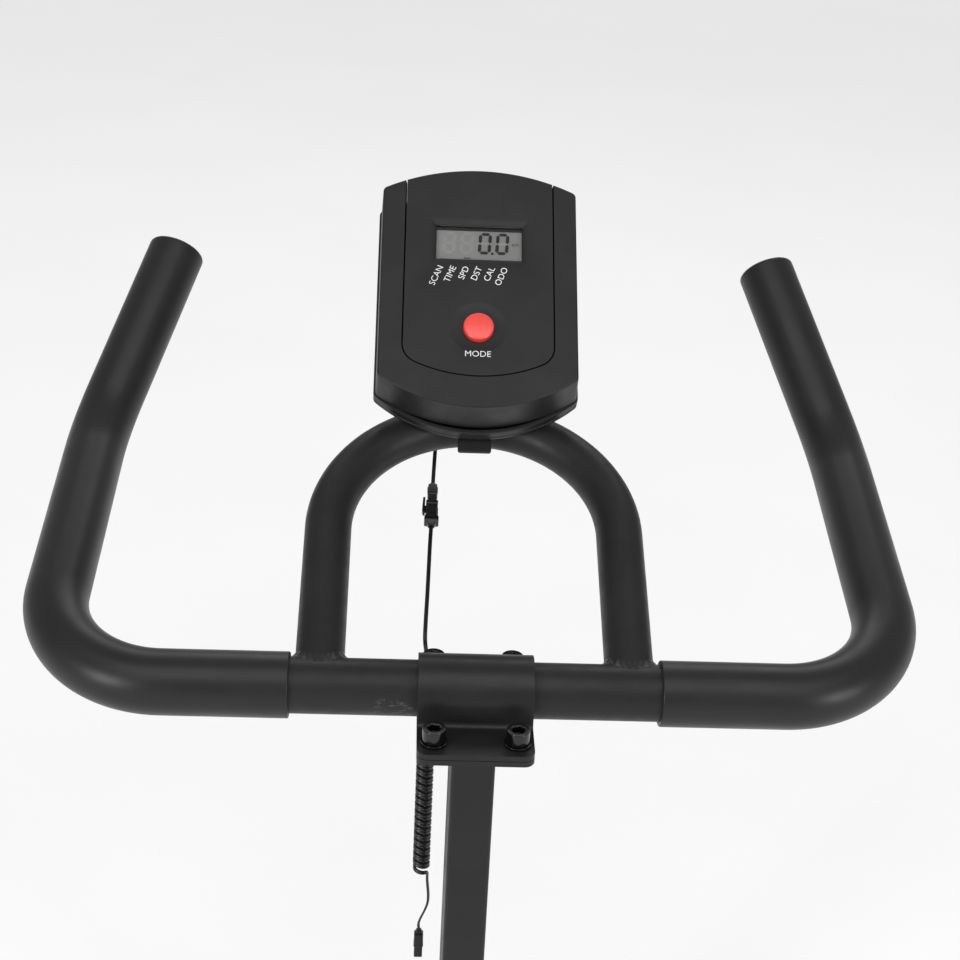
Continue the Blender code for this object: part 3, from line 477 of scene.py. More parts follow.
def turn_profile(bm, profile, matrix, sides):
    """Spin (radius, height) pairs about the matrix's Z axis; a zero radius is a pole."""
    previous = None
    for radius, height in profile:
        if radius <= 0.0:
            row = [bm.verts.new(matrix @ Vector((0, 0, height)))]
        else:
            row = ring(bm, lifted(circle(radius, sides), height, matrix))
        if previous is not None:
            join_rows(bm, previous, row)
        previous = row


def join_rows(bm, low, high):
    if len(low) == len(high):
        bridge(bm, low, high)
        return
    pole, rim = (low[0], high) if len(low) == 1 else (high[0], low)
    for index, vertex in enumerate(rim):
        bm.faces.new((vertex, rim[(index + 1) % len(rim)], pole))


def angles(count):
    return [2 * pi * index / count for index in range(count)]


def arc(centre, radius, start, end, count):
    points = []
    for index in range(count + 1):
        angle = radians(start + (end - start) * index / count)
        points.append((centre[0] + radius * cos(angle),
                       centre[1] + radius * sin(angle)))
    return points


def rounded_rectangle(width, depth, radius, count=6, centre=(0.0, 0.0)):
    x, y = width / 2 - radius, depth / 2 - radius
    corners = ((x, y, 0), (-x, y, 90), (-x, -y, 180), (x, -y, 270))
    points = []
    for corner_x, corner_y, start in corners:
        points += arc((centre[0] + corner_x, centre[1] + corner_y), radius, start,
                      start + 90, count)
    return points


def rounded_block(bm, size, corner, edge, low, high, matrix, count):
    """A prism of rounded plan from low to high, with its top and bottom rims rounded."""
    turns = [radians(90 * step / count) for step in range(count + 1)]
    rows = []
    for level, sign, rim in ((low, 1, turns), (high, -1, reversed(turns))):
        for turn in rim:
            inset = edge * (1 - sin(turn))
            outline = rounded_rectangle(size[0] - 2 * inset, size[1] - 2 * inset,
                                        max(corner - inset, 0.05 * MM))
            rows.append(lifted(outline, level + sign * edge * (1 - cos(turn)), matrix))
    capped(bm, rows)


def bend(before, corner, after, radius, count):
    """Points round a bend of the given radius at the corner between two straight runs."""
    to_before = (before - corner).normalized()
    to_after = (after - corner).normalized()
    half = to_before.angle(to_after) / 2
    start = corner + to_before * (radius / tan(half))
    finish = corner + to_after * (radius / tan(half))
    centre = corner + (to_before + to_after).normalized() * (radius / sin(half))
    first, last = start - centre, finish - centre
    sweep = first.angle(last)
    points = []
    for index in range(count + 1):
        share = index / count
        points.append(centre + (first * sin((1 - share) * sweep)
                                + last * sin(share * sweep)) / sin(sweep))
    return points


def straight(start, finish, count):
    """Points between two places, both left out."""
    return [start.lerp(finish, index / count) for index in range(1, count)]


def travelling_frames(line, side):
    """Cross-section axes along a line, turned as little as possible from point to point."""
    frames = []
    for index, point in enumerate(line):
        ahead = line[min(index + 1, len(line) - 1)] - line[max(index - 1, 0)]
        ahead.normalize()
        side = (side - ahead * side.dot(ahead)).normalized()
        frames.append((point, side, ahead.cross(side)))
    return frames


def swept(line, section, side, scales):
    """Rows of a flat section of (u, v) carried along a line, shrunk by a scale at each point."""
    return [[point + (across * u + over * v) * scale for u, v in section]
            for (point, across, over), scale in zip(travelling_frames(line, side), scales)]


def circle(radius, sides):
    return [(radius * cos(angle), radius * sin(angle)) for angle in angles(sides)]


def smooth_route(route, spacing):
    """A Catmull-Rom curve through the route's points, resampled evenly."""
    knots = [Vector(point) for point in route]
    knots = [knots[0] * 2 - knots[1]] + knots + [knots[-1] * 2 - knots[-2]]
    fine = []
    for index in range(1, len(knots) - 2):
        a, b, c, d = knots[index - 1:index + 3]
        for step in range(24):
            t = step / 24
            fine.append(((b * 2) + (c - a) * t + (a * 2 - b * 5 + c * 4 - d) * t ** 2
                         + (b * 3 - a - c * 3 + d) * t ** 3) / 2)
    fine.append(knots[-2])
    total = length_of(fine)
    count = max(2, round(total / spacing))
    points, walked, target = [fine[0]], 0.0, total / count
    for p, q in zip(fine, fine[1:]):
        length = (q - p).length
        while walked + length >= target - 1e-9 and len(points) < count:
            points.append(p.lerp(q, (target - walked) / length))
            target += total / count
        walked += length
    return points + [fine[-1]]


def length_of(line):
    return sum((q - p).length for p, q in zip(line, line[1:]))


# ------------------------------------------------------------ camera and light
CAMERA_FROM_BAR = Vector((-0.0445, -0.8615, 0.5517))
CAMERA_PITCH = radians(25.97)
CAMERA_YAW = radians(2.75)
CAMERA_ROLL = radians(2.86)
CAMERA_LENS = 67.5


def build_camera():
    ahead = Vector((sin(CAMERA_YAW) * cos(CAMERA_PITCH),
                    cos(CAMERA_YAW) * cos(CAMERA_PITCH), -sin(CAMERA_PITCH)))
    right = Vector((cos(CAMERA_YAW), -sin(CAMERA_YAW), 0.0))
    up = right.cross(ahead)
    turned_right = right * cos(CAMERA_ROLL) + up * sin(CAMERA_ROLL)
    turned_up = up * cos(CAMERA_ROLL) - right * sin(CAMERA_ROLL)
    place = Matrix((turned_right, turned_up, -ahead)).transposed().to_4x4()
    place.translation = BAR + CAMERA_FROM_BAR
    data = bpy.data.cameras.new("camera")
    data.sensor_width = 36.0
    data.lens = CAMERA_LENS
    data.clip_end = 100.0
    camera = linked("camera", data)
    camera.matrix_world = place
    bpy.context.scene.camera = camera


def area_light(name, place, target, size, power):
    data = bpy.data.lights.new(name, "AREA")
    data.shape = "RECTANGLE"
    data.size, data.size_y = size
    data.energy = power
    light = linked(name, data)
    light.location = place
    light.rotation_euler = (Vector(target) - Vector(place)).to_track_quat("-Z", "Y").to_euler()


def build_studio():
    bpy.context.scene.view_settings.view_transform = "Standard"
    world = bpy.data.worlds.new("studio")
    world.use_nodes = True
    background = world.node_tree.nodes["Background"]
    background.inputs["Color"].default_value = (1.0, 1.0, 1.0, 1.0)
    background.inputs["Strength"].default_value = 0.40
    bpy.context.scene.world = world
    area_light("overhead_front", (0.0, -1.0, 2.3), (0.0, 0.0, 0.4), (2.6, 1.6), 23.0)
    area_light("front_left", (-1.5, -1.5, 0.85), (0.0, 0.0, 0.42), (0.5, 0.8), 19.0)
    area_light("front_right", (1.6, -1.4, 0.85), (0.0, 0.0, 0.42), (0.5, 0.8), 15.0)
    area_light("rim_back", (0.2, 2.0, 2.0), (0.0, 0.1, 0.4), (2.0, 1.0), 12.0)


def build_floor():
    """A pale floor, lit a little from within so that it stays white far from the lights."""
    graph = Graph("studio_floor", Roughness=0.85, Specular_IOR_Level=0.2,
                  Emission_Color=(1.0, 1.0, 1.0, 1.0), Emission_Strength=0.62)
    tone = graph.remap(graph.noise(3.0, 3.0), 0.0, 1.0)
    graph.feed(graph.tint(tone, (0.37, 0.37, 0.37), (0.39, 0.39, 0.39)), "Base Color")
    bm = bmesh.new()
    bmesh.ops.create_grid(bm, x_segments=8, y_segments=8, size=9.0)
    mesh = mesh_of(bm, "studio_floor")
    mesh.materials.append(graph.material)
    floor = linked("studio_floor", mesh)


# --------------------------------------------------------------- tubes, grips
def arm_line(side):
    """The bar's centreline from the grip's inner end to the end of one arm."""
    def on_side(place):
        return BAR + Vector((side * place.x, place.y, place.z))

    corner, kink, end = on_side(ARM_CORNER), on_side(ARM_KINK), on_side(ARM_END)
    start = on_side(Vector((GRIP_START, 0, 0)))
    first = bend(start, corner, kink, CORNER_BEND, 28)
    second = bend(corner, kink, end, KINK_BEND, 14)
    return ([start] + straight(start, first[0], 6) + first
            + straight(first[-1], second[0], 10) + second
            + straight(second[-1], end, 8) + [end])


def build_grips():
    section = circle(GRIP_RADIUS, 56)
    lip, crown = 0.9 * MM, 2.6 * MM      # roundings of the grip's inner end and its tip
    deep, dimple = 8 * MM, 0.55          # depth of the bore shown, size of the tip's dimple
    turns = [radians(18 * step) for step in range(6)]
    for name, side in (("grip_left", -1), ("grip_right", 1)):
        line = arm_line(side)
        ahead = (line[1] - line[0]).normalized()
        finish = (line[-1] - line[-2]).normalized()
        full_line = ([line[0] + ahead * lip * (1 - cos(turn)) for turn in turns]
                     + line[1:-1]
                     + [line[-1] - finish * crown * (1 - sin(turn)) for turn in turns])
        scales = ([1 - lip * (1 - sin(turn)) / GRIP_RADIUS for turn in turns]
                  + [1.0] * (len(line) - 2)
                  + [1 - crown * (1 - cos(turn)) / GRIP_RADIUS for turn in turns])
        bm = bmesh.new()
        made = loft(bm, swept(full_line, section, UP, scales))
        inner = ring(bm, [line[0] + (vertex.co - line[0]) * (BAR_RADIUS + 0.1 * MM)
                          / (GRIP_RADIUS - lip) for vertex in made[0]])
        bridge(bm, inner, made[0])
        bottom = ring(bm, [vertex.co + ahead * deep for vertex in inner])
        bridge(bm, bottom, inner)
        bm.faces.new(bottom)
        tip = ring(bm, [line[-1] + (vertex.co - line[-1]) * dimple for vertex in made[-1]])
        bridge(bm, made[-1], tip)
        bm.faces.new(tip)
        piece(name, bm, "grip_foam")


def build_bar():
    left, right = arm_line(-1), arm_line(1)
    inset = 4 * MM
    for line in (left, right):
        line[-1] = line[-1] + (line[-2] - line[-1]).normalized() * inset
    middle = straight(left[0], right[0], 12)
    bm = bmesh.new()
    line = list(reversed(left)) + middle + right
    capped(bm, swept(line, circle(BAR_RADIUS, 48), UP, [1.0] * len(line)))
    piece("handlebar_tube", bm, "tube_paint", material=RUBBED_PAINT)


def hoop_place(x, along):
    """A place on the hoop's own sloping plane."""
    return BAR + Vector((x, along * cos(HOOP_RISE), along * sin(HOOP_RISE)))


def build_hoop():
    crown = arc((0, HOOP_LEG), HOOP_HALF_WIDTH, 0, 180, 64)
    foot = 10 * MM
    right = straight(Vector((HOOP_HALF_WIDTH, foot, 0)), Vector((HOOP_HALF_WIDTH, HOOP_LEG, 0)), 8)
    outline = ([(HOOP_HALF_WIDTH, foot)] + [(p.x, p.y) for p in right] + crown
               + [(-p.x, p.y) for p in reversed(right)] + [(-HOOP_HALF_WIDTH, foot)])
    bm = bmesh.new()
    capped(bm, swept([hoop_place(x, along) for x, along in outline], circle(HOOP_RADIUS, 44),
                     Vector((0, -sin(HOOP_RISE), cos(HOOP_RISE))), [1.0] * len(outline)))
    piece("console_hoop", bm, "tube_paint")


def build_hoop_welds():
    """A fillet weld where each leg of the hoop meets the crossbar, with the puddles' ripple."""
    along = Vector((0, cos(HOOP_RISE), sin(HOOP_RISE)))
    over = Vector((0, -sin(HOOP_RISE), cos(HOOP_RISE)))
    count, steps = 144, 10
    waves, swell_height, ripple_height = 26, 0.10 * MM, 0.22 * MM
    skin = 0.06 * MM                     # how far the bead's toes stand off the tubes
    for name, side in (("hoop_weld_left", -1), ("hoop_weld_right", 1)):
        foot = BAR + Vector((side * HOOP_HALF_WIDTH, 0, 0))
        rows = []
        for angle in angles(count):
            outward = Vector((cos(angle), 0, 0)) + over * sin(angle)
            lift = sqrt(BAR_RADIUS ** 2 - (HOOP_RADIUS * sin(angle)) ** 2)
            contact = outward * HOOP_RADIUS + along * lift
            leg = WELD_LEG * (1 + 0.06 * sin(5 * angle + side))
            up_leg = contact + along * leg + outward * skin
            on_bar = contact + outward * leg * 0.85
            from_axis = Vector((0, on_bar.y, on_bar.z))
            from_axis *= (BAR_RADIUS + skin) / from_axis.length
            on_bar = Vector((on_bar.x, from_axis.y, from_axis.z))
            middle = contact.lerp((up_leg + on_bar) / 2, 0.55)
            proud = (outward + along).normalized()
            row = []
            for step in range(steps + 1):
                share = step / steps
                point = (up_leg * (1 - share) ** 2 + middle * 2 * share * (1 - share)
                         + on_bar * share ** 2)
                wave = cos(waves * angle + 3.2 * (share - 0.5) ** 2)
                swell = sin(pi * share)
                row.append(foot + point + proud * swell * (swell_height + ripple_height * wave))
            row.append(foot + (contact - proud * 0.8 * MM))
            rows.append(row)
        bm = bmesh.new()
        made = loft(bm, rows)
        bridge(bm, made[-1], made[0])
        piece(name, bm, "tube_paint", material=WELD_PAINT, sharp=60.0)


# --------------------------------------------------------------------- console
def flat_region(bm, loops):
    """Fill the flat area inside the first loop of vertices and outside the others."""
    edges = []
    for loop in loops:
        for index, vertex in enumerate(loop):
            after = loop[(index + 1) % len(loop)]
            edge = bm.edges.get((vertex, after)) or bm.edges.new((vertex, after))
            edges.append(edge)
    bmesh.ops.triangle_fill(bm, use_beauty=True, use_dissolve=False, edges=edges,
                            normal=(0, 0, 1))


def bowed_end(half_chord, chord_y, tip_y):
    """Centre and radius of the arc through (half_chord, chord_y) and the tip at (0, tip_y)."""
    rise = abs(tip_y - chord_y)
    radius = (half_chord ** 2 + rise ** 2) / (2 * rise)
    return tip_y - copysign(radius, tip_y - chord_y), radius


def polar(centre, radius, start, end, count):
    """Points on an arc as (x, y, outward angle), the first left out."""
    points = []
    for index in range(1, count + 1):
        angle = start + (end - start) * index / count
        points.append((centre[0] + radius * cos(angle),
                       centre[1] + radius * sin(angle), angle))
    return points


TOP_STEPS, CORNER_STEPS, SIDE_STEPS, BOTTOM_STEPS = 5, 7, 16, 22


def half_outline(side, start_x, top_steps=TOP_STEPS, bow=0.0):
    """The console's right half: top edge from start_x, corner, side, corner, bottom."""
    top_y, top_radius = bowed_end(side - CHORD_INSET, FACE_TOP_CORNER, FACE_TOP)
    low_y, low_radius = bowed_end(side - CHORD_INSET, FACE_BOTTOM_CORNER, FACE_BOTTOM - bow)
    x = side - CORNER_ROUND
    high = top_y + sqrt((top_radius - CORNER_ROUND) ** 2 - x ** 2)
    low = low_y - sqrt((low_radius - CORNER_ROUND) ** 2 - x ** 2)
    high_turn, low_turn = atan2(high - top_y, x), atan2(low - low_y, x)
    start_turn = acos(start_x / top_radius)
    points = [(start_x, top_y + top_radius * sin(start_turn), start_turn)]
    points += polar((0, top_y), top_radius, start_turn, high_turn, top_steps)
    points += polar((x, high), CORNER_ROUND, high_turn, 0.0, CORNER_STEPS)
    points += [(side, high + (low - high) * step / SIDE_STEPS, 0.0)
               for step in range(1, SIDE_STEPS + 1)]
    points += polar((x, low), CORNER_ROUND, 0.0, low_turn, CORNER_STEPS)
    points += polar((0, low_y), low_radius, low_turn, -pi / 2, BOTTOM_STEPS)
    return points


def both_halves(half):
    """The right half, then its mirror image back up; a shared middle point comes once."""
    mirrored = [(-x, y, pi - angle) for x, y, angle in reversed(half)][1:]
    shared_top = abs(half[0][0]) <= 1e-9
    return half + (mirrored[:-1] if shared_top else mirrored)


def inset_row(outline, inset, height):
    """An outline of (x, y, angle of its outward normal), moved inward, at a height."""
    return [Vector((x - inset * cos(angle), y - inset * sin(angle), height))
            for x, y, angle in outline]


def wall_side(height):
    """The front shell's half width at a height: it widens from the face to the parting."""
    share = (FACE - height) / (FACE - PARTING)
    return FACE_HALF_WIDTH + SIDE_STEP + (PARTING_HALF_WIDTH - FACE_HALF_WIDTH - SIDE_STEP) * share


def edge_rounding():
    """Inset and drop along the face's rounded edge, from the flat to the wall."""
    return [(EDGE_ROUND * (1 - sin(angle)), EDGE_ROUND * (1 - cos(angle)))
            for angle in (radians(90 * step / 5) for step in range(6))]


def seam_half(grow, top):
    """The insert's right edge from the top down, its corner, and its bowed bottom."""
    low_y, low_radius = bowed_end(PANEL_CHORD, PANEL_BOTTOM_CORNER, PANEL_BOTTOM)
    x = PANEL_HALF_WIDTH - PANEL_ROUND
    corner_y = low_y - sqrt((low_radius - PANEL_ROUND) ** 2 - x ** 2)
    low_turn = atan2(corner_y - low_y, x)
    side = PANEL_HALF_WIDTH + grow
    stops = (top, top - 3 * MM, FACE_TOP_CORNER - 5 * MM, corner_y)
    points = [(side, top, 0.0)]
    for start, stop, steps in zip(stops, stops[1:], (TOP_STEPS, CORNER_STEPS, SIDE_STEPS)):
        points += [(side, start + (stop - start) * step / steps, 0.0)
                   for step in range(1, steps + 1)]
    points += polar((x, corner_y), PANEL_ROUND + grow, 0.0, low_turn, CORNER_STEPS)
    points += polar((0, low_y), low_radius + grow, low_turn, -pi / 2, BOTTOM_STEPS)
    return points


def top_edge(x, side):
    centre, radius = bowed_end(side - CHORD_INSET, FACE_TOP_CORNER, FACE_TOP)
    return centre + sqrt(radius ** 2 - x ** 2)


def build_front_shell():
    """The U-shaped front shell: face, rounded edge and flared side walls."""
    start_x = PANEL_HALF_WIDTH + SEAM / 2
    heights = [(inset, FACE - drop) for inset, drop in edge_rounding()]
    heights += [(0.0, height) for height in (49 * MM, 42 * MM, 35 * MM, 29.4 * MM)]
    heights += [(0.12 * MM, 28.9 * MM), (0.5 * MM, PARTING)]
    rows = []
    for inset, height in heights:
        half = half_outline(wall_side(height), start_x)
        half[0] = (half[0][0], half[0][1], pi / 2)
        rows.append(inset_row(both_halves(half), inset, height))
    bm = bmesh.new()
    made = loft(bm, rows, closed=False)
    top = rows[0][0].y
    seam = both_halves(seam_half(SEAM / 2, top))
    inner = ring(bm, [Vector((x, y, FACE)) for x, y, _ in seam[1:-1]])
    inner = [made[0][0]] + inner + [made[0][-1]]
    for index in range(len(inner) - 1):
        corners = [inner[index], inner[index + 1], made[0][index + 1], made[0][index]]
        bm.faces.new(list(dict.fromkeys(corners)))
    piece("front_shell", bm, "console_plastic", wall=2.2 * MM,
          bevel=0.30 * MM, matrix=CONSOLE, facing=Vector((0, 0, 1)))


def build_insert_panel():
    """The U-shaped insert: face, bezel round the display, button dish and top wall."""
    side = PANEL_HALF_WIDTH - SEAM / 2
    count = 20
    stations = [side * (1 - 2 * step / count) for step in range(count + 1)]
    heights = edge_rounding()
    rows = [[Vector((x, top_edge(x, wall_side(FACE - drop)) - inset, FACE - drop))
             for x in stations] for inset, drop in heights]
    rows += [[Vector((x, top_edge(x, wall_side(height)), height)) for x in stations]
             for height in (49 * MM, 42 * MM, 35 * MM, PARTING + 0.3 * MM)]
    bm = bmesh.new()
    made = loft(bm, rows, closed=False)
    top = rows[0][0].y
    seam = both_halves(seam_half(-SEAM / 2, top))
    outline = ([made[0][0]] + ring(bm, [Vector((x, y, FACE)) for x, y, _ in seam[1:-1]])
               + list(reversed(made[0]))[:-1])
    bezel = loft(bm, [
        lifted(rounded_rectangle(*LCD_BEZEL, 1.4 * MM, 5, (0, LCD_Y)), FACE),
        lifted(rounded_rectangle(*LCD_WINDOW, 0.7 * MM, 5, (0, LCD_Y)), FACE - 2.2 * MM),
        lifted(rounded_rectangle(*LCD_WINDOW, 0.7 * MM, 5, (0, LCD_Y)), FACE - 2.5 * MM)])
    dish = []
    for step in range(9):
        share = step / 8
        radius = DISH_RADIUS + (BUTTON_HOLE - DISH_RADIUS) * share
        drop = DISH_DEPTH * (1 - (1 - share) ** 1.7)
        dish.append(lifted(circle(radius, 64), FACE - drop))
    dish.append(lifted(circle(BUTTON_HOLE, 64), FACE - 2.3 * MM))
    dish = loft(bm, [[point + Vector((0, BUTTON_Y, 0)) for point in row] for row in dish])
    flat_region(bm, [outline, bezel[0], dish[0]])
    piece("insert_panel", bm, "console_plastic",
          wall=1.3 * MM, bevel=0.22 * MM, matrix=CONSOLE, facing=Vector((0, 0, 1)))


def build_rear_shell():
    """The rear shell: a lip round the parting, a grooved wall, and the battery bay."""
    heights = [(2.4, 28.1), (0.5, 28.1), (0.15, 27.95), (0.0, 27.6), (0.0, 23.0), (0.0, 22.5),
               (0.45, 22.2), (0.45, 21.5), (0.0, 21.2), (0.0, 19.6), (0.12, 19.0), (0.41, 18.5),
               (0.9, 18.1), (1.6, 18.0)]
    outline = both_halves(half_outline(BACK_HALF_WIDTH, 0.0, 16, REAR_BOW))
    bm = bmesh.new()
    made = loft(bm, [inset_row(outline, inset * MM, height * MM) for inset, height in heights])
    middle = DOOR_HINGE_Y + DOOR_DEPTH / 2
    bay = [lifted(rounded_rectangle(DOOR_WIDTH + 1.0 * MM, DOOR_DEPTH + 1.0 * MM, 1.6 * MM, 5,
                                    (0, middle)), height * MM)
           for height in (18.0, 20.4, 37.4)]
    bay = loft(bm, bay)
    bm.faces.new(bay[-1])
    flat_region(bm, [made[-1], bay[0]])
    piece("rear_shell", bm, "console_plastic", wall=1.8 * MM,
          bevel=0.20 * MM, matrix=CONSOLE, facing=Vector((0, 0, -1)))


def build_battery_door():
    """The door, with its thumb ridges."""
    bm = bmesh.new()
    middle = DOOR_HINGE_Y + DOOR_DEPTH / 2
    rounded_block(bm, (DOOR_WIDTH, DOOR_DEPTH), 1.3 * MM, 0.45 * MM, 18.0 * MM, 19.8 * MM,
                  Matrix.Translation((0, middle, 0)), 4)
    for step in range(6):
        y = DOOR_HINGE_Y + DOOR_DEPTH - 4.0 * MM - step * 1.9 * MM
        rounded_block(bm, (26 * MM, 0.9 * MM), 0.4 * MM, 0.3 * MM, 17.45 * MM, 18.3 * MM,
                      Matrix.Translation((0, y, 0)), 3)
    piece("battery_door", bm, "console_plastic", "battery_door",
          matrix=CONSOLE)


def bar_segment(bm, start, finish, thick, height):
    """One display segment: a thin bar with pointed ends."""
    start, finish = Vector(start), Vector(finish)
    along = (finish - start).normalized() * thick / 2
    over = Vector((-along.y, along.x))
    outline = (start, start + along + over, finish - along + over, finish,
               finish - along - over, start + along - over)
    capped(bm, [lifted(outline, height), lifted(outline, height + MARK_THICKNESS)])


SEGMENTS = {"top": ((0, 2), (1, 2)), "upper_left": ((0, 1), (0, 2)), "upper_right": ((1, 1), (1, 2)),
            "middle": ((0, 1), (1, 1)), "lower_left": ((0, 0), (0, 1)),
            "lower_right": ((1, 0), (1, 1)), "bottom": ((0, 0), (1, 0))}


def digit(bm, left, names, height):
    """A seven-segment digit whose foot is at (left, DIGIT_FOOT), with a slight slant."""
    width, tall, thick, gap = 6.2 * MM, 6.9 * MM, 2.2 * MM, 0.30 * MM
    for name in names:
        (x0, y0), (x1, y1) = SEGMENTS[name]
        start = Vector((x0 * width, y0 * tall))
        finish = Vector((x1 * width, y1 * tall))
        pull = (finish - start).normalized() * gap
        corners = []
        for corner in (start + pull, finish - pull):
            corners.append((left + corner.x + corner.y * DIGIT_SLANT, DIGIT_FOOT + corner.y))
        bar_segment(bm, *corners, thick, height)


def build_display_marks():
    """The reading, the ghosts of its unused segments, and a few small marks."""
    glass = GLASS_TOP + 0.05 * MM
    zero = [name for name in SEGMENTS if name != "middle"]
    bm = bmesh.new()
    digit(bm, 0.1 * MM, zero, glass)
    digit(bm, 11.2 * MM, zero, glass)
    rounded_block(bm, (1.7 * MM, 1.7 * MM), 0.4 * MM, 0.005 * MM, glass,
                  glass + MARK_THICKNESS, Matrix.Translation((8.5 * MM, DIGIT_FOOT - 0.4 * MM, 0)), 2)
    rounded_block(bm, (4.4 * MM, 0.7 * MM), 0.2 * MM, 0.005 * MM, glass,
                  glass + MARK_THICKNESS, Matrix.Translation((-7.5 * MM, LCD_Y - 10.2 * MM, 0)), 2)
    letters(bm, "KM", 3.0 * MM, Matrix.Translation((23.0 * MM, LCD_Y + 0.4 * MM, glass)), thin=0.0)
    piece("display_reading", bm, "lcd_glass", matrix=CONSOLE, material=SEGMENT_DARK)
    bm = bmesh.new()
    for left in (-22.6 * MM, -11.4 * MM):
        digit(bm, left, list(SEGMENTS), glass)
    digit(bm, 0.1 * MM, ["middle"], glass)
    digit(bm, 11.2 * MM, ["middle"], glass)
    piece("display_ghosts", bm, "lcd_glass", matrix=CONSOLE,
          material=SEGMENT_GHOST)


def build_display_gasket_and_shade():
    """A black border round the glass, under the lens, as a gasket would be; its wider top strip is painted shade,
    standing for the bezel's shadow.
    """
    high = FACE - 4.05 * MM
    outer = rounded_rectangle(56.0 * MM, 26.0 * MM, 0.4 * MM, 3, (0, LCD_Y))
    # The opening sits 1 mm low, so the top strip of the border is the wider: a painted shadow of the bezel's top
    # wall.
    inner = rounded_rectangle(54.2 * MM, 21.8 * MM, 0.4 * MM, 3, (0, LCD_Y - 1.0 * MM))
    bm = bmesh.new()
    rows = loft(bm, [lifted(inner, high), lifted(outer, high), lifted(outer, high - 0.1 * MM),
                     lifted(inner, high - 0.1 * MM)])
    bridge(bm, rows[-1], rows[0])
    piece("display_gasket_and_shade", bm, "lcd_glass", matrix=CONSOLE, material=SEGMENT_DARK)


def letters(bm, words, size, place, align="CENTER", thin=0.005):
    """Add a word as a thin mesh, laid by the matrix place."""
    curve = bpy.data.curves.new("letters", "FONT")
    curve.body = words
    curve.size = size
    curve.align_x = align
    curve.align_y = "CENTER"
    curve.extrude = 0.02 * MM
    curve.offset = -thin * size
    curve.resolution_u = 4
    holder = linked("letters", curve)
    bpy.context.view_layer.update()
    depsgraph = bpy.context.evaluated_depsgraph_get()
    mesh = bpy.data.meshes.new_from_object(holder.evaluated_get(depsgraph))
    mesh.transform(place)
    bm.from_mesh(mesh)
    bpy.data.objects.remove(holder, do_unlink=True)


def build_labels():
    """Generic function names below the display, and one below the button."""
    bm = bmesh.new()
    face = FACE + 0.02 * MM
    for index, words in enumerate(("SCAN", "TIME", "SPD", "DST", "CAL", "ODO")):
        place = (Matrix.Translation((LABEL_START + index * LABEL_STEP, LABEL_END_Y, face))
                 @ Matrix.Rotation(LABEL_TURN, 4, "Z"))
        letters(bm, words, LABEL_SIZE, place, "RIGHT")
    letters(bm, "MODE", LABEL_SIZE, Matrix.Translation((*MODE_LABEL, face)))
    piece("function_labels", bm, "console_plastic", matrix=CONSOLE, material=PRINT_WHITE)


def build_button():
    """The mode button: a low dome with a rounded rim, and the flange that holds it in."""
    profile = [(0.0, -4.0), (10.6, -4.0), (11.0, -3.8), (11.0, -3.0), (10.8, -2.8), (9.5, -2.8),
               (9.5, -0.5), (9.5, 1.6), (9.42, 2.05), (9.2, 2.42), (8.75, 2.72), (8.0, 2.92),
               (7.0, 3.08), (5.4, 3.24), (3.4, 3.35), (1.6, 3.39), (0.0, 3.4)]
    bm = bmesh.new()
    turn_profile(bm, [(radius * MM, height * MM) for radius, height in profile],
                 CONSOLE @ Matrix.Translation((0, BUTTON_Y, FACE)), 72)
    piece("mode_button", bm, "button_red", "mode_button")


def pan_screw(name, place, shank):
    """A pan head screw whose head hangs below its seat, with a cross recess."""
    bm = bmesh.new()
    profile = [(1.3, shank), (1.3, 0.0), (2.55, -0.02), (2.8, -0.3), (2.8, -0.75), (2.62, -1.35),
               (2.2, -1.8), (1.85, -1.95)]
    rows = loft(bm, [lifted(circle(radius * MM, 40), height * MM) for radius, height in profile])
    bm.faces.new(rows[0])
    arm, half = 1.45 * MM, 0.36 * MM
    plus = [(arm, -half), (arm, half), (half, half), (half, arm), (-half, arm), (-half, half),
            (-arm, half), (-arm, -half), (-half, -half), (-half, -arm), (half, -arm),
            (half, -half)]
    recess = loft(bm, [lifted(plus, -1.95 * MM),
                       lifted([(x * 0.7, y * 0.7) for x, y in plus], -0.9 * MM)])
    bm.faces.new(recess[-1])
    flat_region(bm, [rows[-1], recess[0]])
    piece(name, bm, "black_oxide_steel", matrix=CONSOLE @ place, sharp=35.0)


def build_screws():
    corners = ((-54, 22), (54, 22), (-54, 126), (54, 126))
    for index, (x, y) in enumerate(corners):
        pan_screw(f"shell_screw_{index + 1}", Matrix.Translation((x * MM, y * MM, BACK)), 22.0)
    for index, y in enumerate((22, 40)):
        pan_screw(f"tongue_screw_{index + 1}",
                  Matrix.Translation((0, y * MM, HOOP_RADIUS + GAP)), 9.0)


def build_bracket():
    """The strip that carries the console, and its two weld beads on the hoop's crown."""
    low = HOOP_RADIUS + GAP
    bm = bmesh.new()
    rounded_block(bm, (21 * MM, 77 * MM), 1.6 * MM, 0.5 * MM, low, low + 2.5 * MM,
                  Matrix.Translation((0, 11.5 * MM, 0)), 4)
    piece("console_bracket", bm, "tube_paint",
          matrix=CONSOLE)
    bm = bmesh.new()
    length, offset, height, radius, puddles = 19.0 * MM, 5.6 * MM, 13.2 * MM, 1.7 * MM, 13
    for side in (-1, 1):
        line, scales = [], []
        for step in range(49):
            share = step / 48
            line.append(Vector(((share - 0.5) * length, side * offset, height)))
            end = sin(pi * min(share, 1 - share, 0.12) / 0.24)
            scales.append(max(0.25, end) * (1 + 0.07 * cos(2 * pi * share * puddles)))
        capped(bm, swept(line, circle(radius, 14), UP, scales))
    piece("bracket_welds", bm, "tube_paint", material=WELD_PAINT, matrix=CONSOLE,
          sharp=60.0)


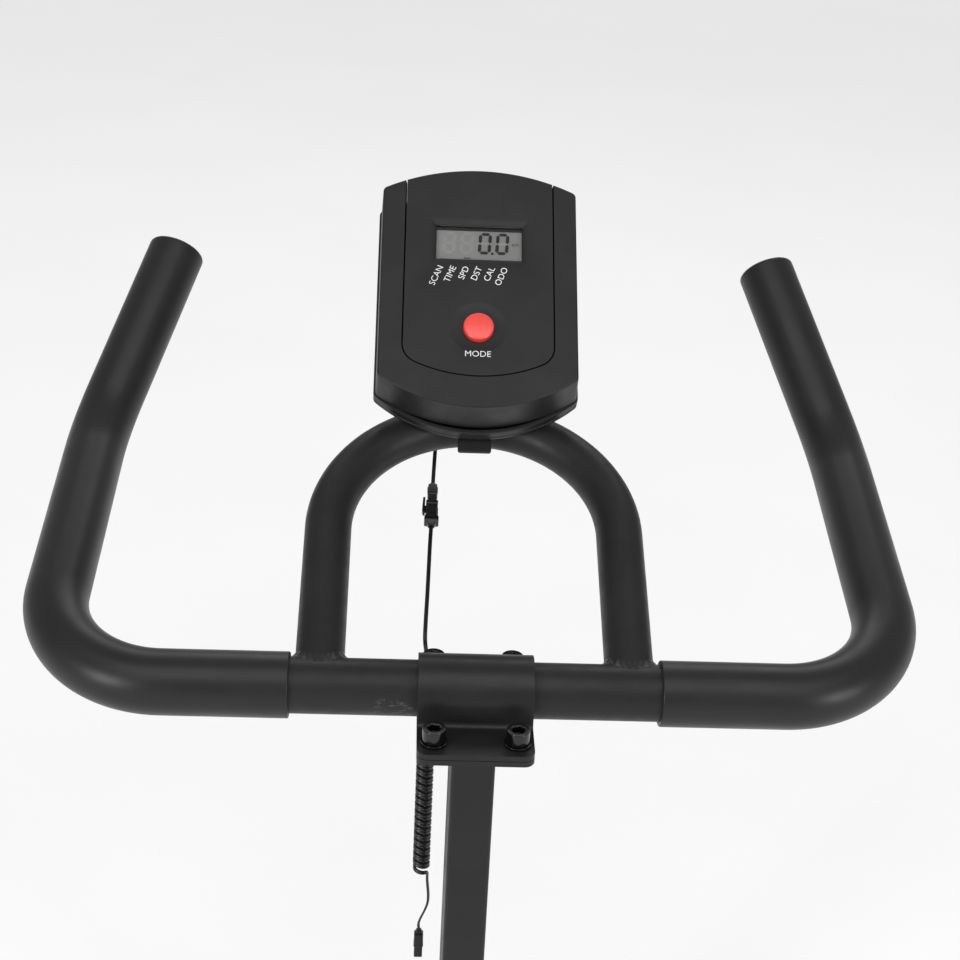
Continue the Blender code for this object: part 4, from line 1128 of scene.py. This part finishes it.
# ----------------------------------------------------------------- sensor lead
def twin_outline(core, spacing):
    """The figure-of-eight section of two cores moulded side by side."""
    sides = 9
    cusp = acos(spacing / 2 / core)
    right = []
    for index in range(sides + 1):
        angle = (pi - cusp) * (2 * index / sides - 1)
        right.append((spacing / 2 + core * cos(angle), core * sin(angle)))
    left = [(-x, -y) for x, y in right]
    return right + left[1:-1]


def settle(share):
    """A smooth step from 0 to 1."""
    share = min(max(share, 0.0), 1.0)
    return share * share * (3 - 2 * share)


def swept_facing(line, section, hints, scales):
    """Rows of a section carried along a line, its U axis kept as near as can be to the hints."""
    rows = []
    for index, point in enumerate(line):
        ahead = (line[min(index + 1, len(line) - 1)] - line[max(index - 1, 0)]).normalized()
        across = (hints[index] - ahead * hints[index].dot(ahead)).normalized()
        over = ahead.cross(across)
        rows.append([point + (across * u + over * v) * scales[index] for u, v in section])
    return rows


def curly_line():
    """The curly stretch: down its side, round into the helix, and straight out again.

    Gives the centreline, the direction of the twin cores, and how far each point is coiled.
    """
    step = 2 * pi * CURL_RADIUS / CURL_STEPS
    slope = atan(CURL_PITCH / (2 * pi * CURL_RADIUS))
    bend_steps = round((pi / 2 - slope) * CURL_BEND / step)
    fall = CURL_BEND * cos(slope)
    helix_steps = round((CURL_LENGTH - 2 * fall - CURL_LEAD_IN) / (step * sin(slope)))
    slopes = [pi / 2 + (slope - pi / 2) * index / bend_steps
              for index in range(bend_steps)]
    slopes = slopes + [slope] * helix_steps + list(reversed(slopes))
    angle, height = pi / 2, -CURL_LEAD_IN
    line, hints, ramps = [], [], []
    for index, lean in enumerate(slopes):
        out = Vector((cos(angle), sin(angle), 0))
        round_axis = Vector((-sin(angle), cos(angle), 0))
        line.append(BAR + CURL_TOP + out * CURL_RADIUS + Vector((0, 0, height)))
        hints.append(round_axis * sin(lean) + Vector((0, 0, 1)) * cos(lean))
        ramps.append(settle(min(index, len(slopes) - 1 - index) / CURL_STEPS))
        angle += step * cos(lean) / CURL_RADIUS
        height -= step * sin(lean)
    return line, hints, ramps


def build_cords():
    """The sensor lead in its two lengths: pigtail above the connector, the rest below it."""
    section = twin_outline(LEAD_CORE, LEAD_WIDTH - 2 * LEAD_CORE)
    level = Vector((1, 0, 0))
    pigtail = smooth_route([BAR + Vector(point) for point in PIGTAIL_ROUTE], 1.6 * MM)
    bm = bmesh.new()
    capped(bm, swept_facing(pigtail, section, [level] * len(pigtail), [1.0] * len(pigtail)))
    upper = piece("lead_pigtail", bm, "lead_pvc", sharp=50.0)
    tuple(pigtail[0])
    round(length_of(pigtail), 4)

    curl, curl_hints, ramps = curly_line()
    lead_route = [BAR + Vector(point) for point in LEAD_ROUTE[:-2]]
    lead_route[-1].y += CURL_RADIUS
    lead = smooth_route(lead_route + [curl[0]], 1.6 * MM)[:-1]
    tail_end = BAR + CURL_TOP - Vector((0, 0, CURL_LENGTH + GAP + TAIL_LENGTH))
    tail_middle = (curl[-1] + tail_end) / 2 + Vector((TAIL_BOW, 0, 0))
    tail = smooth_route([curl[-1], curl[-1] - Vector((0, 0, 4 * MM)), tail_middle,
                         tail_end + Vector((0, 0, 6 * MM)), tail_end], 1.6 * MM)[1:]
    line = lead + curl + tail
    shares = [0.0] * len(lead) + ramps + [0.0] * len(tail)
    hints = [-level] * len(lead) + curl_hints + [curl_hints[-1]] * len(tail)
    scales = [1.0 + (CURL_CORE / LEAD_CORE - 1.0) * share for share in shares]
    bm = bmesh.new()
    capped(bm, swept_facing(line, section, hints, scales))
    lower = piece("lead_to_sensor", bm, "lead_pvc", None,
                  ("lead_lower", "lead_curly", "lead_tail"), sharp=50.0)
    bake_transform(lower)
    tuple(lead[0])
    round(length_of(line), 4)


def stepped_block(bm, sections, place, corner=0.8 * MM, shift=0.0):
    """A moulded block through rounded rectangles, given as (width, depth, height) in mm.

    The shift moves them all in X; a section that has a fourth number is moved by that instead.
    """
    rows = []
    for width, depth, height, *own_shift in sections:
        middle = ((own_shift or [shift])[0] * MM, 0.0)
        outline = rounded_rectangle(width * MM, depth * MM, min(corner, width * MM / 3), 4, middle)
        rows.append(lifted(outline, height * MM, place))
    capped(bm, rows)


def lead_frame(start, finish):
    """A matrix whose -Z runs from start to finish and whose X stays level."""
    down = (finish - start).normalized()
    side = Vector((1, 0, 0))
    side = (side - down * side.dot(down)).normalized()
    turn = Matrix((side, (-down).cross(side), -down)).transposed().to_4x4()
    return Matrix.Translation(start) @ turn


def build_connector():
    """The two-pin inline connector: a plug above, and a latched socket below."""
    start, finish = BAR + Vector(PIGTAIL_ROUTE[-1]), BAR + Vector(LEAD_ROUTE[0])
    place = lead_frame(start, finish)
    bottom = -(finish - start).length / MM + 0.5
    split = -0.3 + (bottom + 0.3) * 0.45
    bm = bmesh.new()
    stepped_block(bm, [(3.2, 2.6, -0.3), (3.8, 3.2, -0.9), (3.8, 3.2, -2.2), (5.4, 4.8, -2.6),
                       (5.8, 5.2, -3.0), (5.8, 5.2, -9.4), (6.4, 5.8, -9.9), (6.4, 5.8, -12.2),
                       (5.6, 5.0, -12.7), (5.6, 5.0, split)], place)
    for side in (-1, 1):
        stepped_block(bm, [(0.7, 2.4, -4.2), (0.9, 2.6, -4.6), (0.9, 2.6, -8.2),
                           (0.7, 2.4, -8.6)], place, 0.2 * MM, side * 2.95)
    piece("connector_plug_body", bm, "plug_plastic", replaced=("connector_plug",), sharp=30.0,
          bevel=0.18 * MM)
    bm = bmesh.new()
    stepped_block(bm, [(7.0, 6.4, split - 0.3), (7.6, 7.0, split - 0.7), (7.6, 7.0, split - 3.2),
                       (7.0, 6.4, split - 3.7), (7.0, 6.4, split - 14.0), (9.0, 7.2, split - 15.6),
                       (9.2, 7.2, split - 17.6), (8.8, 6.8, split - 18.6),
                       (6.0, 5.0, split - 19.6), (4.2, 3.4, bottom + 0.8), (3.6, 2.9, bottom)],
                  place)
    for side in (-1, 1):
        stepped_block(bm, [(0.6, 1.6, split - 5.0), (0.8, 1.8, split - 5.4),
                           (0.8, 1.8, split - 12.4), (0.6, 1.6, split - 12.8)], place, 0.2 * MM,
                      side * 3.6)
    stepped_block(bm, [(1.1, 3.2, split + 4.0, -5.0), (1.5, 3.8, split + 3.4, -5.1),
                       (1.6, 3.8, split - 4.0, -5.3), (1.8, 3.8, split - 8.6, -5.3),
                       (1.2, 3.4, split - 10.4, -5.0)], place, 0.3 * MM)
    stepped_block(bm, [(2.6, 3.0, split - 4.2), (2.6, 3.0, split - 8.0)], place, 0.3 * MM, -4.0)
    piece("connector_socket_body", bm, "plug_plastic", replaced=("connector_socket",), sharp=30.0,
          bevel=0.18 * MM)


def build_tail_plug():
    """The plug on the lead's tail, which meets the bike's own sensor wire."""
    top = BAR + CURL_TOP - Vector((0, 0, CURL_LENGTH + TAIL_LENGTH + 2 * GAP))
    bm = bmesh.new()
    stepped_block(bm, [(3.2, 2.6, 0.0), (3.8, 3.2, -0.8), (3.8, 3.2, -2.4), (5.6, 5.2, -2.9),
                       (5.9, 5.5, -3.4), (5.9, 5.5, -10.0), (6.2, 5.8, -10.4), (6.2, 5.8, -12.4),
                       (5.4, 5.0, -12.9), (5.4, 5.0, -21.0)], Matrix.Translation(top))
    piece("tail_plug_body", bm, "plug_plastic", "stem", ("tail_plug",), sharp=30.0,
          bevel=0.18 * MM)


def build_grommet():
    """The rubber bush that the lead leaves the console's back through."""
    local = CONSOLE.inverted() @ (BAR + Vector(PIGTAIL_ROUTE[0]))
    bore = LEAD_WIDTH / 2 / MM + 0.25
    profile = [(bore, 4.2), (4.2, 4.2), (4.4, 4.0), (4.4, 2.6), (4.2, 2.4), (2.9, 2.4),
               (2.9, -0.3), (4.0, -0.3), (4.2, -0.6), (3.9, -1.6), (3.6, -1.7), (3.6, -2.2),
               (3.3, -2.3), (3.2, -3.0), (2.9, -3.4), (bore, -3.4)]
    rows = [(radius * MM, height * MM) for radius, height in profile]
    bm = bmesh.new()
    turn_profile(bm, rows + rows[:1], Matrix.Translation((local.x, local.y, BACK)), 40)
    bmesh.ops.remove_doubles(bm, verts=bm.verts, dist=0.001 * MM)
    piece("lead_grommet", bm, "grip_foam", matrix=CONSOLE,
          material=RUBBER)


# -------------------------------------------------------------- clamp and post
def across_bar(bm, profile):
    """Carry a section of (y, z) along X, its ends drawn in to round the plan's corners."""
    stations = 9
    half = CLAMP_WIDTH / 2
    places = [half - CLAMP_CORNER * (1 - sin(radians(90 * step / stations)))
              for step in range(stations, -1, -1)]
    places = [-x for x in places] + [0.0] + list(reversed(places))
    rows = []
    for x in places:
        beyond = max(0.0, abs(x) - (half - CLAMP_CORNER))
        reach = (CLAMP_DEPTH / 2 - CLAMP_CORNER
                 + sqrt(max(0.0, CLAMP_CORNER ** 2 - beyond ** 2)))
        rows.append([BAR + Vector((x, min(max(y, -reach), reach), z)) for y, z in profile])
    capped(bm, rows)


def build_clamp():
    top, edge = -FLANGE_DROP, CLAMP_DEPTH / 2
    bottom = top - PLATE
    outer = arc((CAP_RADIUS + 3 * MM, top + 3 * MM), 3 * MM, 270, 180, 6)
    inner = arc((CAP_BORE + 1.5 * MM, bottom + 1.5 * MM), 1.5 * MM, 180, 270, 4)
    profile = [(edge, bottom), (edge, top)] + outer + arc((0, 0), CAP_RADIUS, 0, 180, 40)
    profile += [(-y, z) for y, z in reversed(outer)] + [(-edge, top), (-edge, bottom)]
    profile += [(-y, z) for y, z in reversed(inner)] + arc((0, 0), CAP_BORE, 180, 0, 40) + inner
    bm = bmesh.new()
    across_bar(bm, profile)
    piece("clamp_cap", bm, "clamp_paint", "stem", bevel=0.8 * MM)
    plate_top = bottom - GAP
    plate_bottom = plate_top - PLATE
    start = degrees(acos(-plate_top / SADDLE_BORE))
    groove = arc((0, 0), SADDLE_BORE, 270 - start, 270 + start, 10)
    profile = [(edge, plate_bottom), (edge, plate_top)] + list(reversed(groove))
    profile += [(-edge, plate_top), (-edge, plate_bottom)]
    bm = bmesh.new()
    across_bar(bm, profile)
    piece("clamp_base", bm, "clamp_paint", "stem", bevel=0.7 * MM)


def hexagon(flat_radius, sides):
    """Points round a hexagon, at the same angles as those of a circle."""
    points = []
    for angle in angles(sides):
        radius = flat_radius / cos((angle + pi / 6) % (pi / 3) - pi / 6)
        points.append((radius * cos(angle), radius * sin(angle)))
    return points


def build_fasteners():
    """The four socket screws that close the clamp, each on its washer."""
    washer_low = -FLANGE_DROP + GAP / 2
    head_low = washer_low + WASHER + GAP / 2
    shank = WASHER + GAP + 2 * PLATE + GAP
    places = {"front_left": (-BOLT_X, -FRONT_BOLT_Y), "front_right": (BOLT_X, -FRONT_BOLT_Y),
              "rear_left": (-BOLT_X, REAR_BOLT_Y), "rear_right": (BOLT_X, REAR_BOLT_Y)}
    for index, (place, (x, y)) in enumerate(places.items()):
        centre = BAR + Vector((x, y, 0))
        turn = Matrix.Translation(centre) @ Matrix.Rotation(0.35 + 0.5 * index, 4, "Z")
        bolt = turn @ Matrix.Translation((0, 0, head_low))
        head, radius, flat, sides = HEAD_HEIGHT, HEAD_RADIUS, 3.25 * MM, 60
        rounds = [(3.3 * MM, -shank), (3.8 * MM, -shank + 0.5 * MM), (3.8 * MM, 0.0),
                  (6.2 * MM, 0.0), (radius, 0.3 * MM), (radius, head - HEAD_ROUND)]
        rounds += [(radius - HEAD_ROUND * (1 - cos(radians(18 * step))),
                    head - HEAD_ROUND * (1 - sin(radians(18 * step))))
                   for step in range(1, 6)]
        rounds += [(4.2 * MM, head), (3.95 * MM, head - 0.05 * MM)]
        rows = [lifted(circle(size, sides), height, bolt) for size, height in rounds]
        rows += [lifted(hexagon(flat, sides), head - drop * MM, bolt) for drop in (0.55, 4.4)]
        rows.append(lifted(circle(1.6 * MM, sides), head - 5.0 * MM, bolt))
        bm = bmesh.new()
        capped(bm, rows)
        piece(f"clamp_bolt_{place}", bm, "black_oxide_steel", "stem", sharp=35.0)
        washer = turn @ Matrix.Translation((0, 0, washer_low))
        profile = [(4.3, 0.1), (4.3, 1.5), (4.5, 1.6), (7.3, 1.6), (7.52, 1.5), (7.6, 1.3),
                   (7.6, 0.3), (7.5, 0.1), (7.3, 0.0), (4.5, 0.0), (4.3, 0.1)]
        bm = bmesh.new()
        turn_profile(bm, [(r * MM, h * MM) for r, h in profile], washer, 60)
        bmesh.ops.remove_doubles(bm, verts=bm.verts, dist=0.001 * MM)
        piece(f"washer_{place}", bm, "black_oxide_steel", "stem")


def build_post():
    """The rectangular tube with its row of height holes."""
    bm = bmesh.new()
    outer = rounded_rectangle(POST_WIDTH, POST_DEPTH, POST_CORNER, 8)
    bore = rounded_rectangle(POST_WIDTH - 4 * MM, POST_DEPTH - 4 * MM, 1.2 * MM, 8)
    rows = loft(bm, [lifted(outer, POST_FOOT), lifted(outer, POST_TOP), lifted(bore, POST_TOP),
                     lifted(bore, POST_FOOT)])
    bridge(bm, rows[-1], rows[0])
    cutters = bmesh.new()
    for index in range(POST_HOLES):
        height = HOLE_START + index * HOLE_PITCH
        place = (Matrix.Translation((0, -POST_DEPTH / 2, height))
                 @ Matrix.Rotation(radians(90), 4, "X"))
        bmesh.ops.create_cone(cutters, cap_ends=True, segments=40, radius1=HOLE_RADIUS,
                              radius2=HOLE_RADIUS, depth=20 * MM, matrix=place)
    holes = linked("post_holes", mesh_of(cutters, "post_holes"))
    piece("handlebar_post", bm, "tube_paint", "stem", cut=holes, bevel=0.25 * MM)
    bpy.data.objects.remove(holes, do_unlink=True)


def build_post_weld():
    """The bead where the post meets the plate, its ripple even all the way round."""
    bead, spacing = 2.1, 0.5             # in millimetres
    outline = rounded_rectangle(POST_WIDTH, POST_DEPTH, POST_CORNER, 12)
    rows, dense = [], []
    for index, (x, y) in enumerate(outline):
        after = Vector(outline[(index + 1) % len(outline)])
        start = Vector((x, y))
        steps = max(1, round((after - start).length / (spacing * MM)))
        dense += [start.lerp(after, step / steps) for step in range(steps)]
    for index, point in enumerate(dense):
        ripple = 1 + 0.09 * cos(index * 0.9)
        out = Vector((point.x / POST_WIDTH ** 2, point.y / POST_DEPTH ** 2))
        out = Vector((copysign(abs(out.x) ** 3, out.x),
                      copysign(abs(out.y) ** 3, out.y))).normalized()
        centre = Vector((point.x, point.y, POST_TOP))
        outward = Vector((out.x, out.y, 0))
        rows.append([centre + (outward * cos(angle) + UP * sin(angle))
                     * bead * MM * ripple for angle in angles(12)])
        rows[-1] = [Vector((p.x, p.y, min(p.z, PLATE_LOW))) for p in rows[-1]]
    bm = bmesh.new()
    made = loft(bm, rows)
    bridge(bm, made[-1], made[0])
    piece("post_weld", bm, "clamp_paint", "stem", material=WELD_PAINT, sharp=70.0)


def build_end_plug():
    """The plastic plug in the post's foot: a head as wide as the tube, on a block inside it."""
    bm = bmesh.new()
    rounded_block(bm, (POST_WIDTH, POST_DEPTH), POST_CORNER, 0.8 * MM, 0.0, 3.0 * MM, Matrix(), 5)
    rounded_block(bm, (POST_WIDTH - 4.6 * MM, POST_DEPTH - 4.6 * MM), 1.2 * MM, 0.4 * MM,
                  2.4 * MM, 18.0 * MM, Matrix(), 3)
    piece("post_end_plug", bm, "plug_plastic", "stem")


# ------------------------------------------------------------------------ run
build_camera()
build_studio()
build_floor()
build_grips()
build_bar()
build_hoop()
build_hoop_welds()
build_connector()
build_tail_plug()
build_grommet()
build_cords()
build_front_shell()
build_insert_panel()
build_rear_shell()
build_battery_door()
build_display_marks()
build_display_gasket_and_shade()
build_labels()
build_button()
build_screws()
build_bracket()
build_clamp()
build_fasteners()
build_post()
build_post_weld()
build_end_plug()

NODE_MATERIALS = {entry["node"]: entry["material_slot"] for entry in frame["record"]["subparts"]}
for node_name, node in frame["nodes"].items():
    if not node.hide_render:
        node.data.materials.clear()
        node.data.materials.append(MATERIALS[NODE_MATERIALS[node_name]])
